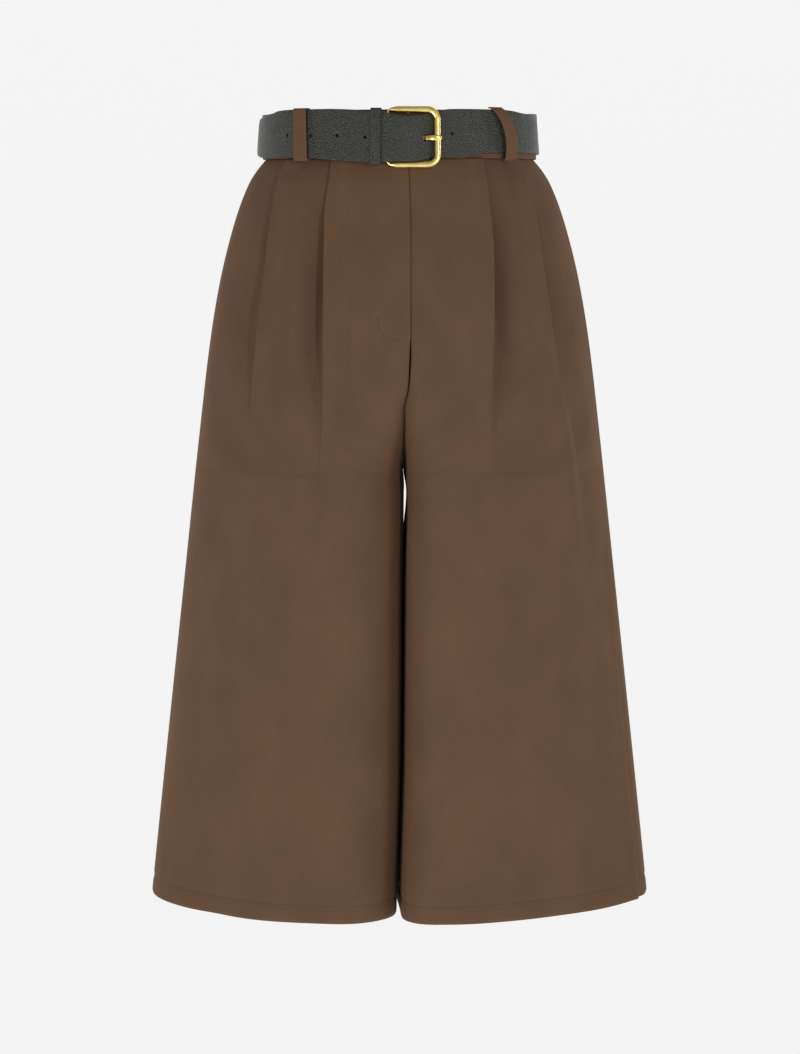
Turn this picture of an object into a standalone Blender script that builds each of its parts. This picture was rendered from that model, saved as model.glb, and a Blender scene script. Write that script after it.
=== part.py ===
"""Wide-leg capri trousers with front pleats, a fly and their own leather belt.

The trousers hang in their worn, hollow form. Metres, +Z up, the front faces -Y and the wearer's
left is +X. The origin is the middle of the waist, level with the waistband's top edge.
"""

import math

import bmesh
import bpy
import numpy as np

MM = 0.001

# All sizes are in millimetres, and heights count down from the waistband's top edge
WAISTBAND_HEIGHT = 42.5
HEM_HEIGHT = -702.0
HEM_DEPTH = 15.5
# The hem hangs lower at the front and back than at the sides
HEM_DIP = 11.3
CLOTH_WALL = 1.2
HEM_WALL = 2.4
BAND_WALL = 2.4
SEAM_GAP = 0.3
# Edges that turn more than this are drawn sharp, and the buckle's corners turn this much a step
SHARP_ANGLE = 40
BEND_TURN = 15
SEAM_STRIP = 2.0
WAIST_SEAM = 1.1
LEG_GAP = 3.0

# The outline of both legs together, from the waist seam to the hem
BODY_COLUMNS = ("height", "half_width", "front_depth", "back_depth", "squareness")
BODY_ROWS = (
    (-42.5, 119.0, 86.8, 86.3, 2.05),
    (-52.0, 126.8, 90.0, 90.6, 2.10),
    (-64.0, 134.2, 93.4, 96.2, 2.15),
    (-96.0, 146.4, 98.5, 106.5, 2.20),
    (-149.0, 160.0, 105.5, 118.0, 2.25),
    (-203.0, 169.2, 110.0, 123.5, 2.30),
    (-293.0, 180.0, 111.5, 121.0, 2.35),
    (-400.0, 191.8, 108.5, 114.0, 2.30),
    (-550.0, 208.3, 104.0, 107.5, 2.20),
    (-720.0, 226.6, 101.0, 105.0, 2.08),
)

# Where the middle of the front lies: the fly's edge, the crotch seam, then the gap between the legs.
# The turn is how far this line has moved sideways by the time it reaches the back: it starts to
# turn TURN_START behind the middle of the trousers (negative is in front) and takes TURN_RUN.
CENTRE_COLUMNS = ("height", "front_x", "turn")
CENTRE_ROWS = (
    (-42.5, 7.7, -7.7),
    (-125.0, 9.6, -9.6),
    (-203.0, 9.6, -9.6),
    (-240.0, 8.2, -8.2),
    (-260.0, 4.4, -4.4),
    (-318.0, 4.6, -2.0),
    (-335.0, 5.4, -0.6),
    (-350.0, 5.4, -1.0),
    (-385.0, 4.8, -4.0),
    (-430.0, 4.4, -5.0),
    (-560.0, 3.5, -5.0),
    (-650.0, 1.0, -5.0),
    (-720.0, -0.5, -5.0),
)
TURN_START = -80.0
TURN_RUN = 120.0

# Where the side seam lies, in front of the widest place when it is negative
SIDE_SEAM_COLUMNS = ("height", "right_y", "left_y")
SIDE_SEAM_ROWS = (
    (-42.5, -18.0, -18.0),
    (-150.0, -4.0, -21.0),
    (-330.0, 8.0, -26.0),
    (-433.0, 8.0, -37.0),
    (-720.0, 8.0, -34.0),
)

# Each knife pleat's folded edge, from the waist seam to the hem that it fades towards
PLEAT_COLUMNS = ("height", "right_inner", "right_outer", "left_inner", "left_outer")
PLEAT_ROWS = (
    (-42.5, -58.0, -96.5, 71.5, 102.0),
    (-57.0, -60.0, -103.5, 74.0, 109.0),
    (-95.0, -64.8, -111.0, 79.0, 117.5),
    (-130.0, -65.4, -115.0, 81.6, 122.8),
    (-180.0, -66.0, -120.5, 82.0, 130.8),
    (-250.0, -67.4, -127.0, 80.0, 142.0),
    (-305.0, -69.0, -131.0, 81.0, 153.0),
    (-720.0, -86.0, -152.0, 92.0, 172.0),
)

# How far each pleat is still folded, and how high its ridge and how deep its valley stand
FOLD_COLUMNS = ("height", "folded", "ridge", "valley", "spread")
FOLD_ROWS = (
    (-42.5, 1.0, 3.2, 0.0, 1.0),
    (-60.0, 0.82, 4.0, -4.0, 1.0),
    (-85.0, 0.52, 4.8, -8.0, 1.0),
    (-115.0, 0.28, 5.0, -10.6, 1.0),
    (-150.0, 0.12, 4.6, -11.4, 1.05),
    (-190.0, 0.0, 3.8, -9.6, 1.1),
    (-230.0, 0.0, 2.6, -5.6, 1.15),
    (-270.0, 0.0, 1.6, -2.6, 1.2),
    (-330.0, 0.0, 0.8, -1.0, 1.25),
    (-720.0, 0.0, 0.2, -0.2, 1.3),
)

# One pleat's section, from the middle of the front outwards: across from the folded edge and
# outwards from the cloth, folded flat and then opened into a ridge and a valley
SECTION_COLUMNS = ("folded_across", "folded_out", "open_across", "open_ridge", "open_valley")
SECTION_ROWS = (
    (-18.0, 0.0, -18.0, 0.0, 0.0),
    (-12.4, 3.2, -12.0, 0.45, 0.0),
    (-6.0, 3.2, -7.0, 0.85, 0.0),
    (-0.6, 3.2, -2.8, 1.0, 0.0),
    (0.0, 1.8, -1.0, 0.92, 0.0),
    (-0.6, 0.4, -0.2, 0.6, 0.1),
    (-6.0, 0.4, 0.5, 0.2, 0.45),
    (-11.4, 0.4, 1.6, 0.0, 0.8),
    (-12.0, 0.2, 4.2, 0.0, 1.0),
    (-11.4, 0.0, 8.4, 0.0, 0.86),
    (-4.0, 0.0, 16.0, 0.0, 0.48),
    (14.0, 0.0, 26.0, 0.0, 0.0),
)
# The share of the table's valley that the inner and the outer pleat have, for each side
VALLEY_SHARES = {-1: (1.0, 0.5), 1: (0.85, 0.5)}

# Soft folds that hang in the cloth: side +1 is the wearer's left, face -1 is the front
DRAPE_COLUMNS = ("side", "face", "top", "bottom", "top_x", "bottom_x", "width", "lift")
DRAPE_ROWS = (
    (1, -1, -235.0, -430.0, 138.0, 166.0, 9.0, 3.0),
    (-1, -1, -150.0, -300.0, -48.0, -50.0, 7.0, -1.4),
    (-1, -1, -330.0, -720.0, -112.0, -122.0, 30.0, 2.6),
    (-1, -1, -330.0, -720.0, -150.0, -166.0, 16.0, -2.4),
    (1, -1, -340.0, -720.0, 54.0, 60.0, 26.0, 2.4),
    (1, -1, -360.0, -720.0, 128.0, 142.0, 28.0, -2.2),
    (-1, -1, -340.0, -720.0, -36.0, -40.0, 20.0, 1.6),
    (1, 1, -230.0, -720.0, 70.0, 78.0, 28.0, 4.0),
    (1, 1, -260.0, -720.0, 128.0, 150.0, 24.0, -3.0),
    (-1, 1, -240.0, -720.0, -62.0, -74.0, 26.0, 3.6),
    (-1, 1, -280.0, -720.0, -122.0, -140.0, 24.0, -2.6),
)
# The share of a fold's length over which it rises from nothing
DRAPE_FADE = 1 / 3

# Between these heights the centre seam runs under the body, and its sides part to the leg gap
CROTCH_TOP = -222.0
CROTCH_BOTTOM = -318.0
CROTCH_SQUARENESS = 2.3
INSEAM_START = 6.0
SEAM_OPENING = 20.0
LEG_OPENING = 30.0

# The rounded corners where each leg's inner wall turns into its front and back, for each side
CORNER_COLUMNS = ("side", "front_across", "front_deep", "back_across", "back_deep")
CORNER_ROWS = (
    (-1, 34.0, 44.0, 42.0, 52.0),
    (1, 26.0, 35.0, 42.0, 52.0),
)
# How sharply a corner's depth stops following the crotch curve where it reaches its full depth
CORNER_SHARPNESS = 8.0
# Points along the inner wall, as many round the corner, and along the rest of a quarter ring
WALL_STEPS = 24
CORNER_END = 2 * WALL_STEPS
SWEEP_STEPS = 4 * WALL_STEPS

# The grid of a panel: its rows, how many of them lie above the hip and above the crotch's bottom, how
# much they crowd towards the waist along the centre and along the side, and over how much of the
# panel's width the centre's heights bend into the side's
PANEL_ROWS = 26
HIP_ROWS = 8
CROTCH_ROWS = 15
INNER_CROWDING = 1.15
OUTER_CROWDING = 1.35
BEND_SHARE = 0.4

# The fly: the wearer's right side laps over the left by FLY_LAP outwards
FLY_END = -204.0
FLY_LAP = 0.6
FLY_WIDTH = 27.0
FLY_FADE = 10.0
ZIP_HALF_WIDTH = 13.0
ZIP_WALL = 1.0
ZIP_CLEAR = 0.7
ZIP_END = FLY_END + 6.0
ZIP_ROWS = 9
# Each column's side of the centre, and its distance from it as a share of ZIP_HALF_WIDTH
ZIP_COLUMNS = ((-1, 1.0), (-1, 0.5), (-1, 0.05), (1, 0.5), (1, 1.0))

# The waistband's top edge, and how much wider it is all round at its bottom edge
BAND_HALF_WIDTH = 118.8
BAND_FRONT = 87.2
BAND_BACK = 86.2
BAND_FLARE = 3.0
BAND_STEPS = 60
OUTLINE_STEPS = 1440
# How far below z = 0 its top edge sinks behind the belt, at each way round
BAND_TOP_COLUMNS = ("round", "top")
BAND_TOP_ROWS = (
    (-330.0, 0.0),
    (-230.0, -0.6),
    (-160.0, -3.4),
    (-120.0, -2.2),
    (-70.0, -0.5),
    (70.0, -0.5),
    (120.0, -3.6),
    (160.0, -5.4),
    (230.0, -0.6),
    (330.0, 0.0),
)

# The belt's middle line, from the folded buckle end, round the waist and over itself to the tip:
# lap 0 is the first time round and lap 1 the second, round is the way along the waistband from the
# middle of the front towards the wearer's right, out is the way out from the band
BELT_COLUMNS = ("lap", "round", "out", "thickness", "top", "bottom")
BELT_ROWS = (
    (0, 40.0, 2.0, 1.2, -4.0, -42.3),
    (0, 27.0, 2.2, 1.4, -4.0, -42.3),
    (0, 14.0, 2.1, 1.4, -5.0, -42.0),
    (0, 10.6, 1.9, 1.4, -7.0, -41.4),
    (0, 8.5, 2.7, 1.4, -7.0, -41.4),
    (0, 7.7, 4.3, 1.4, -7.0, -41.4),
    (0, 8.5, 5.9, 1.4, -7.0, -41.4),
    (0, 10.6, 6.7, 1.4, -7.0, -41.6),
    (0, 13.2, 6.0, 1.5, -4.6, -43.4),
    (0, 16.5, 4.6, 1.8, -1.6, -45.6),
    (0, 26.0, 4.3, 1.8, -1.0, -45.2),
    (0, 36.0, 3.9, 2.0, -0.9, -44.4),
    (0, 46.0, 2.4, 2.2, -0.6, -43.0),
    (0, 58.0, 1.8, 2.4, -0.3, -42.2),
    (0, 95.0, 1.8, 2.4, -0.3, -40.8),
    (0, 140.0, 1.8, 2.4, -3.2, -40.6),
    (0, 200.0, 1.8, 2.4, -1.5, -40.4),
    (0, 330.0, 1.8, 2.4, -0.6, -40.2),
    (0, 460.0, 1.8, 2.4, -1.0, -38.6),
    (0, 520.0, 1.8, 2.4, -3.2, -37.4),
    (0, 550.0, 1.8, 2.4, -0.6, -37.6),
    (0, 580.0, 1.8, 2.4, -0.3, -38.6),
    (1, -62.0, 1.8, 2.4, -0.3, -40.4),
    (1, -44.0, 1.8, 2.4, -0.5, -42.2),
    (1, -33.0, 1.8, 2.4, -2.0, -42.2),
    (1, -28.0, 2.1, 2.4, -3.7, -42.3),
    (1, -24.0, 3.7, 2.3, -4.6, -43.2),
    (1, -20.0, 5.2, 2.2, -5.0, -44.2),
    (1, -14.0, 6.7, 2.2, -5.7, -45.0),
    (1, -7.0, 8.0, 2.2, -6.2, -45.4),
    (1, 2.0, 9.1, 2.2, -5.2, -45.5),
    (1, 10.4, 9.2, 2.2, -3.6, -45.8),
    (1, 16.0, 7.6, 2.2, -2.6, -46.2),
    (1, 26.0, 7.1, 2.2, -1.9, -46.0),
    (1, 36.0, 6.4, 2.2, -1.4, -45.6),
    (1, 48.0, 4.9, 2.2, -0.7, -45.0),
    (1, 60.0, 4.4, 2.0, -0.3, -43.8),
    (1, 95.0, 4.4, 2.0, -0.3, -41.6),
    (1, 112.0, 4.4, 2.0, -0.9, -41.8),
    (1, 130.0, 4.4, 2.0, -4.6, -41.4),
    (1, 152.0, 4.4, 2.0, -7.0, -39.0),
    (1, 160.0, 4.5, 2.0, -14.0, -32.0),
)
BELT_STEP = 11.0
BELT_HOLE_RADIUS = 1.3
BELT_HOLE_CORNERS = 10
# Way round, height, and from how far out to how far out the punch goes
BELT_HOLES = (
    (-44.6, -21.0, -1.0, 6.0),
    (2.8, -26.4, 6.5, 12.0),
    (28.2, -24.5, 5.3, 12.0),
    (52.7, -23.1, 3.1, 9.0),
    (77.4, -22.8, 3.1, 9.0),
    (101.4, -22.4, 3.1, 9.0),
)

KEEPER_ROUND = (15.2, 23.8)
KEEPER_TOP = 0.6
KEEPER_BOTTOM = -48.2
KEEPER_OUT = 10.0
KEEPER_WALL = 0.9
KEEPER_BEND = 1.6

# The buckle's frame, as far round the band from the middle of the front and as far out
HINGE_ROUND = 10.4
HINGE_OUT = 4.3
HINGE_RADIUS = 0.9
FRONT_BAR_ROUND = -31.6
FRONT_BAR_OUT = 6.2
BAR_RADIUS = 2.6
BUCKLE_TOP = -0.7
BUCKLE_BOTTOM = -48.2
BUCKLE_CORNER = 9.0
HINGE_CORNER = 4.5

PRONG_HEIGHT = -23.2
PRONG_HALF_HEIGHT = 2.0
PRONG_CORNERS = 8
PRONG_COLUMNS = ("round", "out", "half_thickness")
PRONG_ROWS = (
    (9.6, 6.5, 0.7),
    (11.9, 6.0, 0.7),
    (12.8, 4.3, 0.7),
    (11.9, 2.6, 0.7),
    (10.0, 2.0, 0.7),
    (8.0, 2.6, 0.8),
    (0.0, 2.9, 0.9),
    (-12.0, 2.8, 0.9),
    (-17.5, 2.7, 0.8),
    (-20.5, 3.1, 0.8),
    (-23.5, 5.1, 0.9),
    (-26.0, 7.7, 1.0),
    (-28.4, 9.5, 1.0),
    (-31.6, 10.1, 1.0),
    (-34.6, 9.4, 0.9),
)
# Each slot's start and end, way round, and from how far out to how far out it is punched
SLOT_HALF_HEIGHT = 2.4
TIP_SLOT = (-26.0, -19.6, -1.0, 7.5)
HINGE_SLOT = (4.5, 15.0, -1.0, 7.4)

# Each loop's foot and head round the waistband, how much of its lean is near its head (1 is a
# straight line), its heights, its width, how far it stands out, and how slack it is
LOOP_COLUMNS = ("foot_round", "head_round", "lean", "foot", "head", "width", "clear", "slack")
LOOP_ROWS = (
    (85.0, 88.0, 1.0, -44.9, 0.1, 13.0, 6.6, 0.0),
    (-99.5, -87.0, 3.0, -42.6, 0.9, 12.4, 3.7, 4.0),
    (215.0, 215.0, 1.0, -42.2, 0.1, 13.5, 3.7, 0.0),
    (329.0, 329.0, 1.0, -42.2, 0.1, 13.5, 3.7, 0.0),
    (-215.0, -215.0, 1.0, -42.2, 0.1, 13.5, 3.7, 0.0),
)
LOOP_WALL = 1.2
# How far from its foot and head a loop starts to turn in towards the band
LOOP_TURN = 1.8
LOOP_ROOT = -WAISTBAND_HEIGHT + 0.1

COLOURS = {
    "cloth": ((0.108, 0.068, 0.049), 0.85, 0.0),
    "leather": ((0.045, 0.046, 0.040), 0.45, 0.0),
    "brass": ((0.78, 0.53, 0.14), 0.30, 1.0),
    "zip": ((0.08, 0.05, 0.035), 0.6, 0.0),
}


def column(columns, rows, name):
    """One named column of a table."""
    return np.array([row[columns.index(name)] for row in rows], float)


def read_table(columns, rows, name, heights):
    """A named column at any height: a smooth curve through its rows that never overshoots them."""
    x = column(columns, rows, "height")[::-1]
    y = column(columns, rows, name)[::-1]
    step = np.diff(x)
    slope = np.diff(y) / step
    before, after = slope[:-1], slope[1:]
    inner = np.where(before * after > 0, 2 * before * after / (before + after + 1e-12), 0.0)
    tangent = np.concatenate([slope[:1], inner, slope[-1:]])
    at = np.clip(heights, x[0], x[-1])
    i = np.clip(np.searchsorted(x, at) - 1, 0, len(step) - 1)
    t = (at - x[i]) / step[i]
    return (
        (2 * t**3 - 3 * t**2 + 1) * y[i]
        + (t**3 - 2 * t**2 + t) * step[i] * tangent[i]
        + (3 * t**2 - 2 * t**3) * y[i + 1]
        + (t**3 - t**2) * step[i] * tangent[i + 1]
    )


def ease(value):
    """0 before 0, 1 after 1 and a soft step between."""
    t = np.clip(value, 0.0, 1.0)
    return t * t * (3 - 2 * t)


def crotch_depth(heights, hip_depth):
    """How far in front of the middle, or behind it, the centre seam lies: none below the crotch."""
    way_down = np.clip((CROTCH_TOP - heights) / (CROTCH_TOP - CROTCH_BOTTOM), 0.0, 1.0)
    return hip_depth * (1 - way_down**CROTCH_SQUARENESS) ** (1 / CROTCH_SQUARENESS)


def centre_x(heights, y):
    """The line between the two sides, which turns as it goes from the front to the back."""
    front = read_table(CENTRE_COLUMNS, CENTRE_ROWS, "front_x", heights)
    turn = read_table(CENTRE_COLUMNS, CENTRE_ROWS, "turn", heights)
    return front + turn * ease((y - TURN_START) / TURN_RUN)


def quarter_ring(side, face, heights):
    """One quarter of the outline at each height, from the centre seam or inseam out to the side."""
    heights = heights[:, None]
    half_width = read_table(BODY_COLUMNS, BODY_ROWS, "half_width", heights)
    depth_name = "front_depth" if face < 0 else "back_depth"
    depth = read_table(BODY_COLUMNS, BODY_ROWS, depth_name, heights)
    square = read_table(BODY_COLUMNS, BODY_ROWS, "squareness", heights)
    corners = {row[0]: dict(zip(CORNER_COLUMNS, row)) for row in CORNER_ROWS}[side]
    corner_across = corners["front_across" if face < 0 else "back_across"]
    corner_deep = corners["front_deep" if face < 0 else "back_deep"]

    start = crotch_depth(heights, depth)
    room = (depth - start) / corner_deep
    grown = ease((CROTCH_TOP - heights) / (CROTCH_TOP - CROTCH_BOTTOM))
    either = (room**CORNER_SHARPNESS + grown**CORNER_SHARPNESS) ** (1 / CORNER_SHARPNESS)
    deep = corner_deep * room * grown / np.maximum(either, 1e-9)
    across = corner_across * grown
    wall = np.linspace(0.0, 1.0, WALL_STEPS + 1)[:-1]
    turn = np.linspace(0.0, math.pi / 2, WALL_STEPS + 1)[:-1]
    sweep = np.linspace(0.0, math.pi / 2, SWEEP_STEPS + 1)

    wall_y = start + (depth - deep - start) * wall
    turn_y = depth - deep + deep * np.sin(turn)
    inner_y = np.concatenate([wall_y, turn_y], axis=1)
    inner_x = np.concatenate([0 * wall_y, across * (1 - np.cos(turn))], axis=1)
    below = ease((CROTCH_BOTTOM - heights) / LEG_OPENING)
    clear = np.maximum(ease((inner_y - start) / SEAM_OPENING), below)
    clear = SEAM_GAP / 2 + (LEG_GAP / 2 - SEAM_GAP / 2) * clear
    inner_x = inner_x + clear + side * centre_x(heights, face * inner_y)

    outer_from = across + clear[:, -1:] + side * centre_x(heights, face * depth)
    outer_x = outer_from + (half_width - outer_from) * np.sin(sweep) ** (2 / square)
    outer_y = depth * np.cos(sweep) ** (2 / square)
    x = np.concatenate([inner_x, outer_x], axis=1)
    y = np.concatenate([inner_y, outer_y], axis=1)
    return x, face * y


def half_ring(side, heights):
    """The whole outline of one side at each height, from the front's middle round to the back's."""
    front_x, front_y = quarter_ring(side, -1, heights)
    back_x, back_y = quarter_ring(side, 1, heights)
    x = np.concatenate([front_x, back_x[:, -2::-1]], axis=1)
    y = np.concatenate([front_y, back_y[:, -2::-1]], axis=1)
    steps = np.hypot(np.diff(x, axis=1), np.diff(y, axis=1))
    length = np.concatenate([np.zeros((len(x), 1)), np.cumsum(steps, axis=1)], axis=1)
    return x, y, length


def lookup(keys, values, wanted):
    """Each row's value where its rising keys reach the wanted one."""
    i = np.clip((keys < wanted[:, None]).sum(axis=1), 1, keys.shape[1] - 1)
    rows = np.arange(len(keys))
    low, high = keys[rows, i - 1], keys[rows, i]
    t = np.clip((wanted - low) / np.maximum(high - low, 1e-9), 0.0, 1.0)
    return values[rows, i - 1] * (1 - t) + values[rows, i] * t


def seam_length(side, heights, x, y, length):
    """How far round the half ring the side seam lies."""
    name = "left_y" if side > 0 else "right_y"
    seam_y = read_table(SIDE_SEAM_COLUMNS, SIDE_SEAM_ROWS, name, heights)
    middle = x.shape[1] // 2
    outer = slice(middle - SWEEP_STEPS + 1, middle + SWEEP_STEPS - 1)
    return lookup(y[:, outer], length[:, outer], seam_y)


def drape_lift(side, face, heights, x):
    """How far the soft hanging folds push the cloth out at each point."""
    lift = np.zeros_like(heights)
    for row in DRAPE_ROWS:
        fold = dict(zip(DRAPE_COLUMNS, row))
        if fold["side"] != side or fold["face"] != face:
            continue
        along = (fold["top"] - heights) / (fold["top"] - fold["bottom"])
        middle = fold["top_x"] + (fold["bottom_x"] - fold["top_x"]) * along
        swell = ease(along / DRAPE_FADE)
        if fold["bottom"] > HEM_HEIGHT:
            swell = swell * ease((1 - along) / DRAPE_FADE)
        away = (x - middle) / fold["width"]
        lift = lift + fold["lift"] * swell * np.exp(-away * away)
    return lift


def point_on_ring(side, face, heights, length_along, out):
    """Points at these lengths from the centre seam, moved out from the cloth."""
    x, y, length = half_ring(side, heights)
    if face > 0:
        length_along = length[:, -1] - length_along
    centre = lookup(length, x, length_along), lookup(length, y, length_along)
    ahead = lookup(length, x, length_along + 1.0), lookup(length, y, length_along + 1.0)
    behind = lookup(length, x, length_along - 1.0), lookup(length, y, length_along - 1.0)
    tangent = np.array([ahead[0] - behind[0], ahead[1] - behind[1]])
    tangent = tangent / np.maximum(np.hypot(*tangent), 1e-9)
    out = out + drape_lift(side, face, heights, side * centre[0])
    return side * (centre[0] + out * tangent[1]), centre[1] - out * tangent[0]


def row_heights():
    """The heights of the grid's rows along the centre seam and along the side seam."""
    hip = np.linspace(0.0, 1.0, HIP_ROWS + 1) ** INNER_CROWDING
    waist = -WAISTBAND_HEIGHT - WAIST_SEAM
    inner = list(waist + (CROTCH_TOP - waist) * hip)
    angles = np.linspace(0.0, math.pi / 2, CROTCH_ROWS - HIP_ROWS + 1)[1:]
    curve = np.sin(angles) ** (2 / CROTCH_SQUARENESS)
    inner += list(CROTCH_TOP + (CROTCH_BOTTOM - CROTCH_TOP) * curve)
    above_hem = HEM_HEIGHT + HEM_DEPTH
    inner += list(np.linspace(CROTCH_BOTTOM, above_hem, PANEL_ROWS - CROTCH_ROWS)[1:])
    way_down = np.linspace(0.0, 1.0, PANEL_ROWS) ** OUTER_CROWDING
    outer = list(waist + (above_hem - waist) * way_down)
    return np.array(inner + [HEM_HEIGHT]), np.array(outer + [HEM_HEIGHT])


def pleat_section(heights, index, valley_share=1.0):
    """Where one column of a pleat lies, across from the folded edge and out from the cloth."""
    section = dict(zip(SECTION_COLUMNS, SECTION_ROWS[index]))
    folded = read_table(FOLD_COLUMNS, FOLD_ROWS, "folded", heights)
    ridge = read_table(FOLD_COLUMNS, FOLD_ROWS, "ridge", heights)
    valley = valley_share * read_table(FOLD_COLUMNS, FOLD_ROWS, "valley", heights)
    spread = read_table(FOLD_COLUMNS, FOLD_ROWS, "spread", heights)
    open_out = section["open_ridge"] * ridge + section["open_valley"] * valley
    across = folded * section["folded_across"] + (1 - folded) * section["open_across"]
    out = folded * section["folded_out"] + (1 - folded) * open_out
    return across * spread, out


def corner_length(side, face, heights):
    """The length from the panel's inner edge to where its front or back face begins."""
    length = half_ring(side, heights)[2]
    if face < 0:
        return length[:, CORNER_END]
    return length[:, -1] - length[:, -1 - CORNER_END]


def inner_lengths(side, face, heights, seam_heights, shares, stops):
    """Lengths spread from the centre seam, at its own heights, to the stops at these heights."""
    corner = corner_length(side, face, heights)
    start = inseam_edge(seam_heights) - corner_length(side, face, seam_heights)
    strip = start + SEAM_STRIP
    spread = [start + (stops - corner - start) * share for share in shares]
    return [corner + place for place in [start, strip, *spread]]


def inseam_edge(heights):
    """How far the panel's inner edge keeps from the inseam: nothing above the crotch."""
    return SEAM_GAP / 2 * ease((CROTCH_BOTTOM + INSEAM_START - heights) / INSEAM_START)


def front_lengths(side, heights, seam_heights, columns):
    """Each front column's length round the ring, and how far its pleat lifts it.

    The columns are spread before, between and after the two pleats, which have columns of their own.
    """
    x, y, length = half_ring(side, heights)
    end = seam_length(side, heights, x, y, length) - SEAM_GAP / 2
    quarter = slice(0, x.shape[1] // 2)
    edges = []
    for name in ("inner", "outer"):
        pleat = ("left_" if side > 0 else "right_") + name
        edge_x = side * read_table(PLEAT_COLUMNS, PLEAT_ROWS, pleat, heights)
        edges.append(lookup(x[:, quarter], length[:, quarter], edge_x))
    sections = len(SECTION_ROWS)
    before, between, after = columns
    first = [edge + pleat_section(heights, 0)[0] for edge in edges]
    last = [edge + pleat_section(heights, sections - 1)[0] for edge in edges]
    flat = 0 * heights
    shares = [k / before for k in range(1, before)]
    grid = inner_lengths(side, -1, heights, seam_heights, shares, first[0])
    lifts = [flat] * len(grid)
    for number, edge in enumerate(edges):
        for k in range(sections):
            across, out = pleat_section(heights, k, VALLEY_SHARES[side][number])
            grid.append(edge + across)
            lifts.append(out)
        stop, count = (first[1], between) if number == 0 else (end, after)
        grid += [last[number] + (stop - last[number]) * k / count for k in range(1, count)]
        lifts += [flat] * (count - 1)
    grid += [end - SEAM_STRIP, end]
    lifts += [flat, flat]
    return np.array(grid), np.array(lifts)


def back_lengths(side, heights, seam_heights, columns):
    """Each back column's length from the centre back, evenly spaced to the side seam."""
    x, y, length = half_ring(side, heights)
    end = length[:, -1] - seam_length(side, heights, x, y, length) - SEAM_GAP / 2
    shares = [k / columns for k in range(1, columns)]
    grid = inner_lengths(side, 1, heights, seam_heights, shares, end)
    grid += [end - SEAM_STRIP, end]
    return np.array(grid), np.zeros((len(grid), len(heights)))


def lap_lift(side, heights, lengths):
    """The fly's top side stands a little proud of the side that it laps over."""
    down = ease((heights - FLY_END) / FLY_FADE)
    across = ease((FLY_WIDTH + FLY_FADE - lengths) / FLY_FADE)
    return -side * FLY_LAP * down * across


def panel_points(side, face, columns):
    """The outer surface of one trouser panel as a grid of points."""
    inner, outer = row_heights()
    count = columns + 3 if face > 0 else sum(columns) + 2 * len(SECTION_ROWS) + 1
    between_strips = count - 3
    grid = np.zeros((len(inner), count, 3))
    for c in range(count):
        across = min(max(c - 1, 0) / between_strips / BEND_SHARE, 1.0)
        bend = 1 - (1 - across) ** 2
        heights = inner * (1 - bend) + outer * bend
        if face > 0:
            lengths, lifts = back_lengths(side, heights, inner, columns)
        else:
            lengths, lifts = front_lengths(side, heights, inner, columns)
            lifts[c] = lifts[c] + lap_lift(side, heights, lengths[c])
        x, y = point_on_ring(side, face, heights, lengths[c], lifts[c])
        half_width = read_table(BODY_COLUMNS, BODY_ROWS, "half_width", heights)
        dip = HEM_DIP * ease((CROTCH_BOTTOM - heights) / (CROTCH_BOTTOM - HEM_HEIGHT))
        dip = dip * np.maximum(1 - (x / half_width) ** 2, 0.0)
        grid[:, c] = np.stack([x, y, heights - dip], axis=1)
    return grid


def new_object(name, mesh, slot):
    """A mesh placed in the scene with its own material."""
    colour, roughness, metallic = COLOURS[slot]
    material = bpy.data.materials.new(name + "_material")
    material.use_nodes = True
    shader = material.node_tree.nodes["Principled BSDF"]
    shader.inputs["Base Color"].default_value = (*colour, 1.0)
    shader.inputs["Roughness"].default_value = roughness
    shader.inputs["Metallic"].default_value = metallic
    mesh.materials.append(material)
    obj = bpy.data.objects.new(name, mesh)
    bpy.context.scene.collection.objects.link(obj)
    return obj


def mesh_from(name, points, faces):
    """A smooth-shaded mesh, from points in millimetres."""
    mesh = bpy.data.meshes.new(name)
    mesh.from_pydata([tuple(point) for point in np.asarray(points) * MM], [], faces)
    mesh.shade_smooth()
    return mesh


def grid_faces(rows, columns, flip):
    """Quads over a grid of points."""
    faces = []
    for r in range(rows - 1):
        for c in range(columns - 1):
            a = r * columns + c
            quad = (a, a + 1, a + columns + 1, a + columns)
            faces.append(quad[::-1] if flip else quad)
    return faces


def build_panel(name, side, face, columns):
    """One cloth panel: its outer surface with a wall behind it, thicker in the turned-up hem."""
    grid = panel_points(side, face, columns)
    rows, count = grid.shape[:2]
    mesh = mesh_from(name, grid.reshape(-1, 3), grid_faces(rows, count, side * face < 0))
    obj = new_object(name, mesh, "cloth")
    group = obj.vertex_groups.new(name="wall")
    turned_up = 2 * count
    group.add(list(range((rows * count) - turned_up)), CLOTH_WALL / HEM_WALL, "REPLACE")
    group.add(list(range((rows * count) - turned_up, rows * count)), 1.0, "REPLACE")
    wall = obj.modifiers.new("Wall", "SOLIDIFY")
    wall.thickness = HEM_WALL * MM
    wall.offset = -1.0
    wall.vertex_group = group.name


def loft(name, sections, slot, closed=False):
    """A closed solid through sections of equal point count, capped at its ends unless it is a ring."""
    sections = np.asarray(sections, float)
    count, corners = sections.shape[:2]
    faces = []
    for s in range(count if closed else count - 1):
        for k in range(corners):
            here, there = s * corners, (s + 1) % count * corners
            after = (k + 1) % corners
            faces.append((here + k, here + after, there + after, there + k))
    if not closed:
        faces.append(tuple(range(corners))[::-1])
        faces.append(tuple((count - 1) * corners + k for k in range(corners)))
    mesh = mesh_from(name, sections.reshape(-1, 3), faces)
    body = bmesh.new()
    body.from_mesh(mesh)
    bmesh.ops.recalc_face_normals(body, faces=body.faces)
    body.to_mesh(mesh)
    body.free()
    mesh.set_sharp_from_angle(angle=math.radians(SHARP_ANGLE))
    return new_object(name, mesh, slot)


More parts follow.
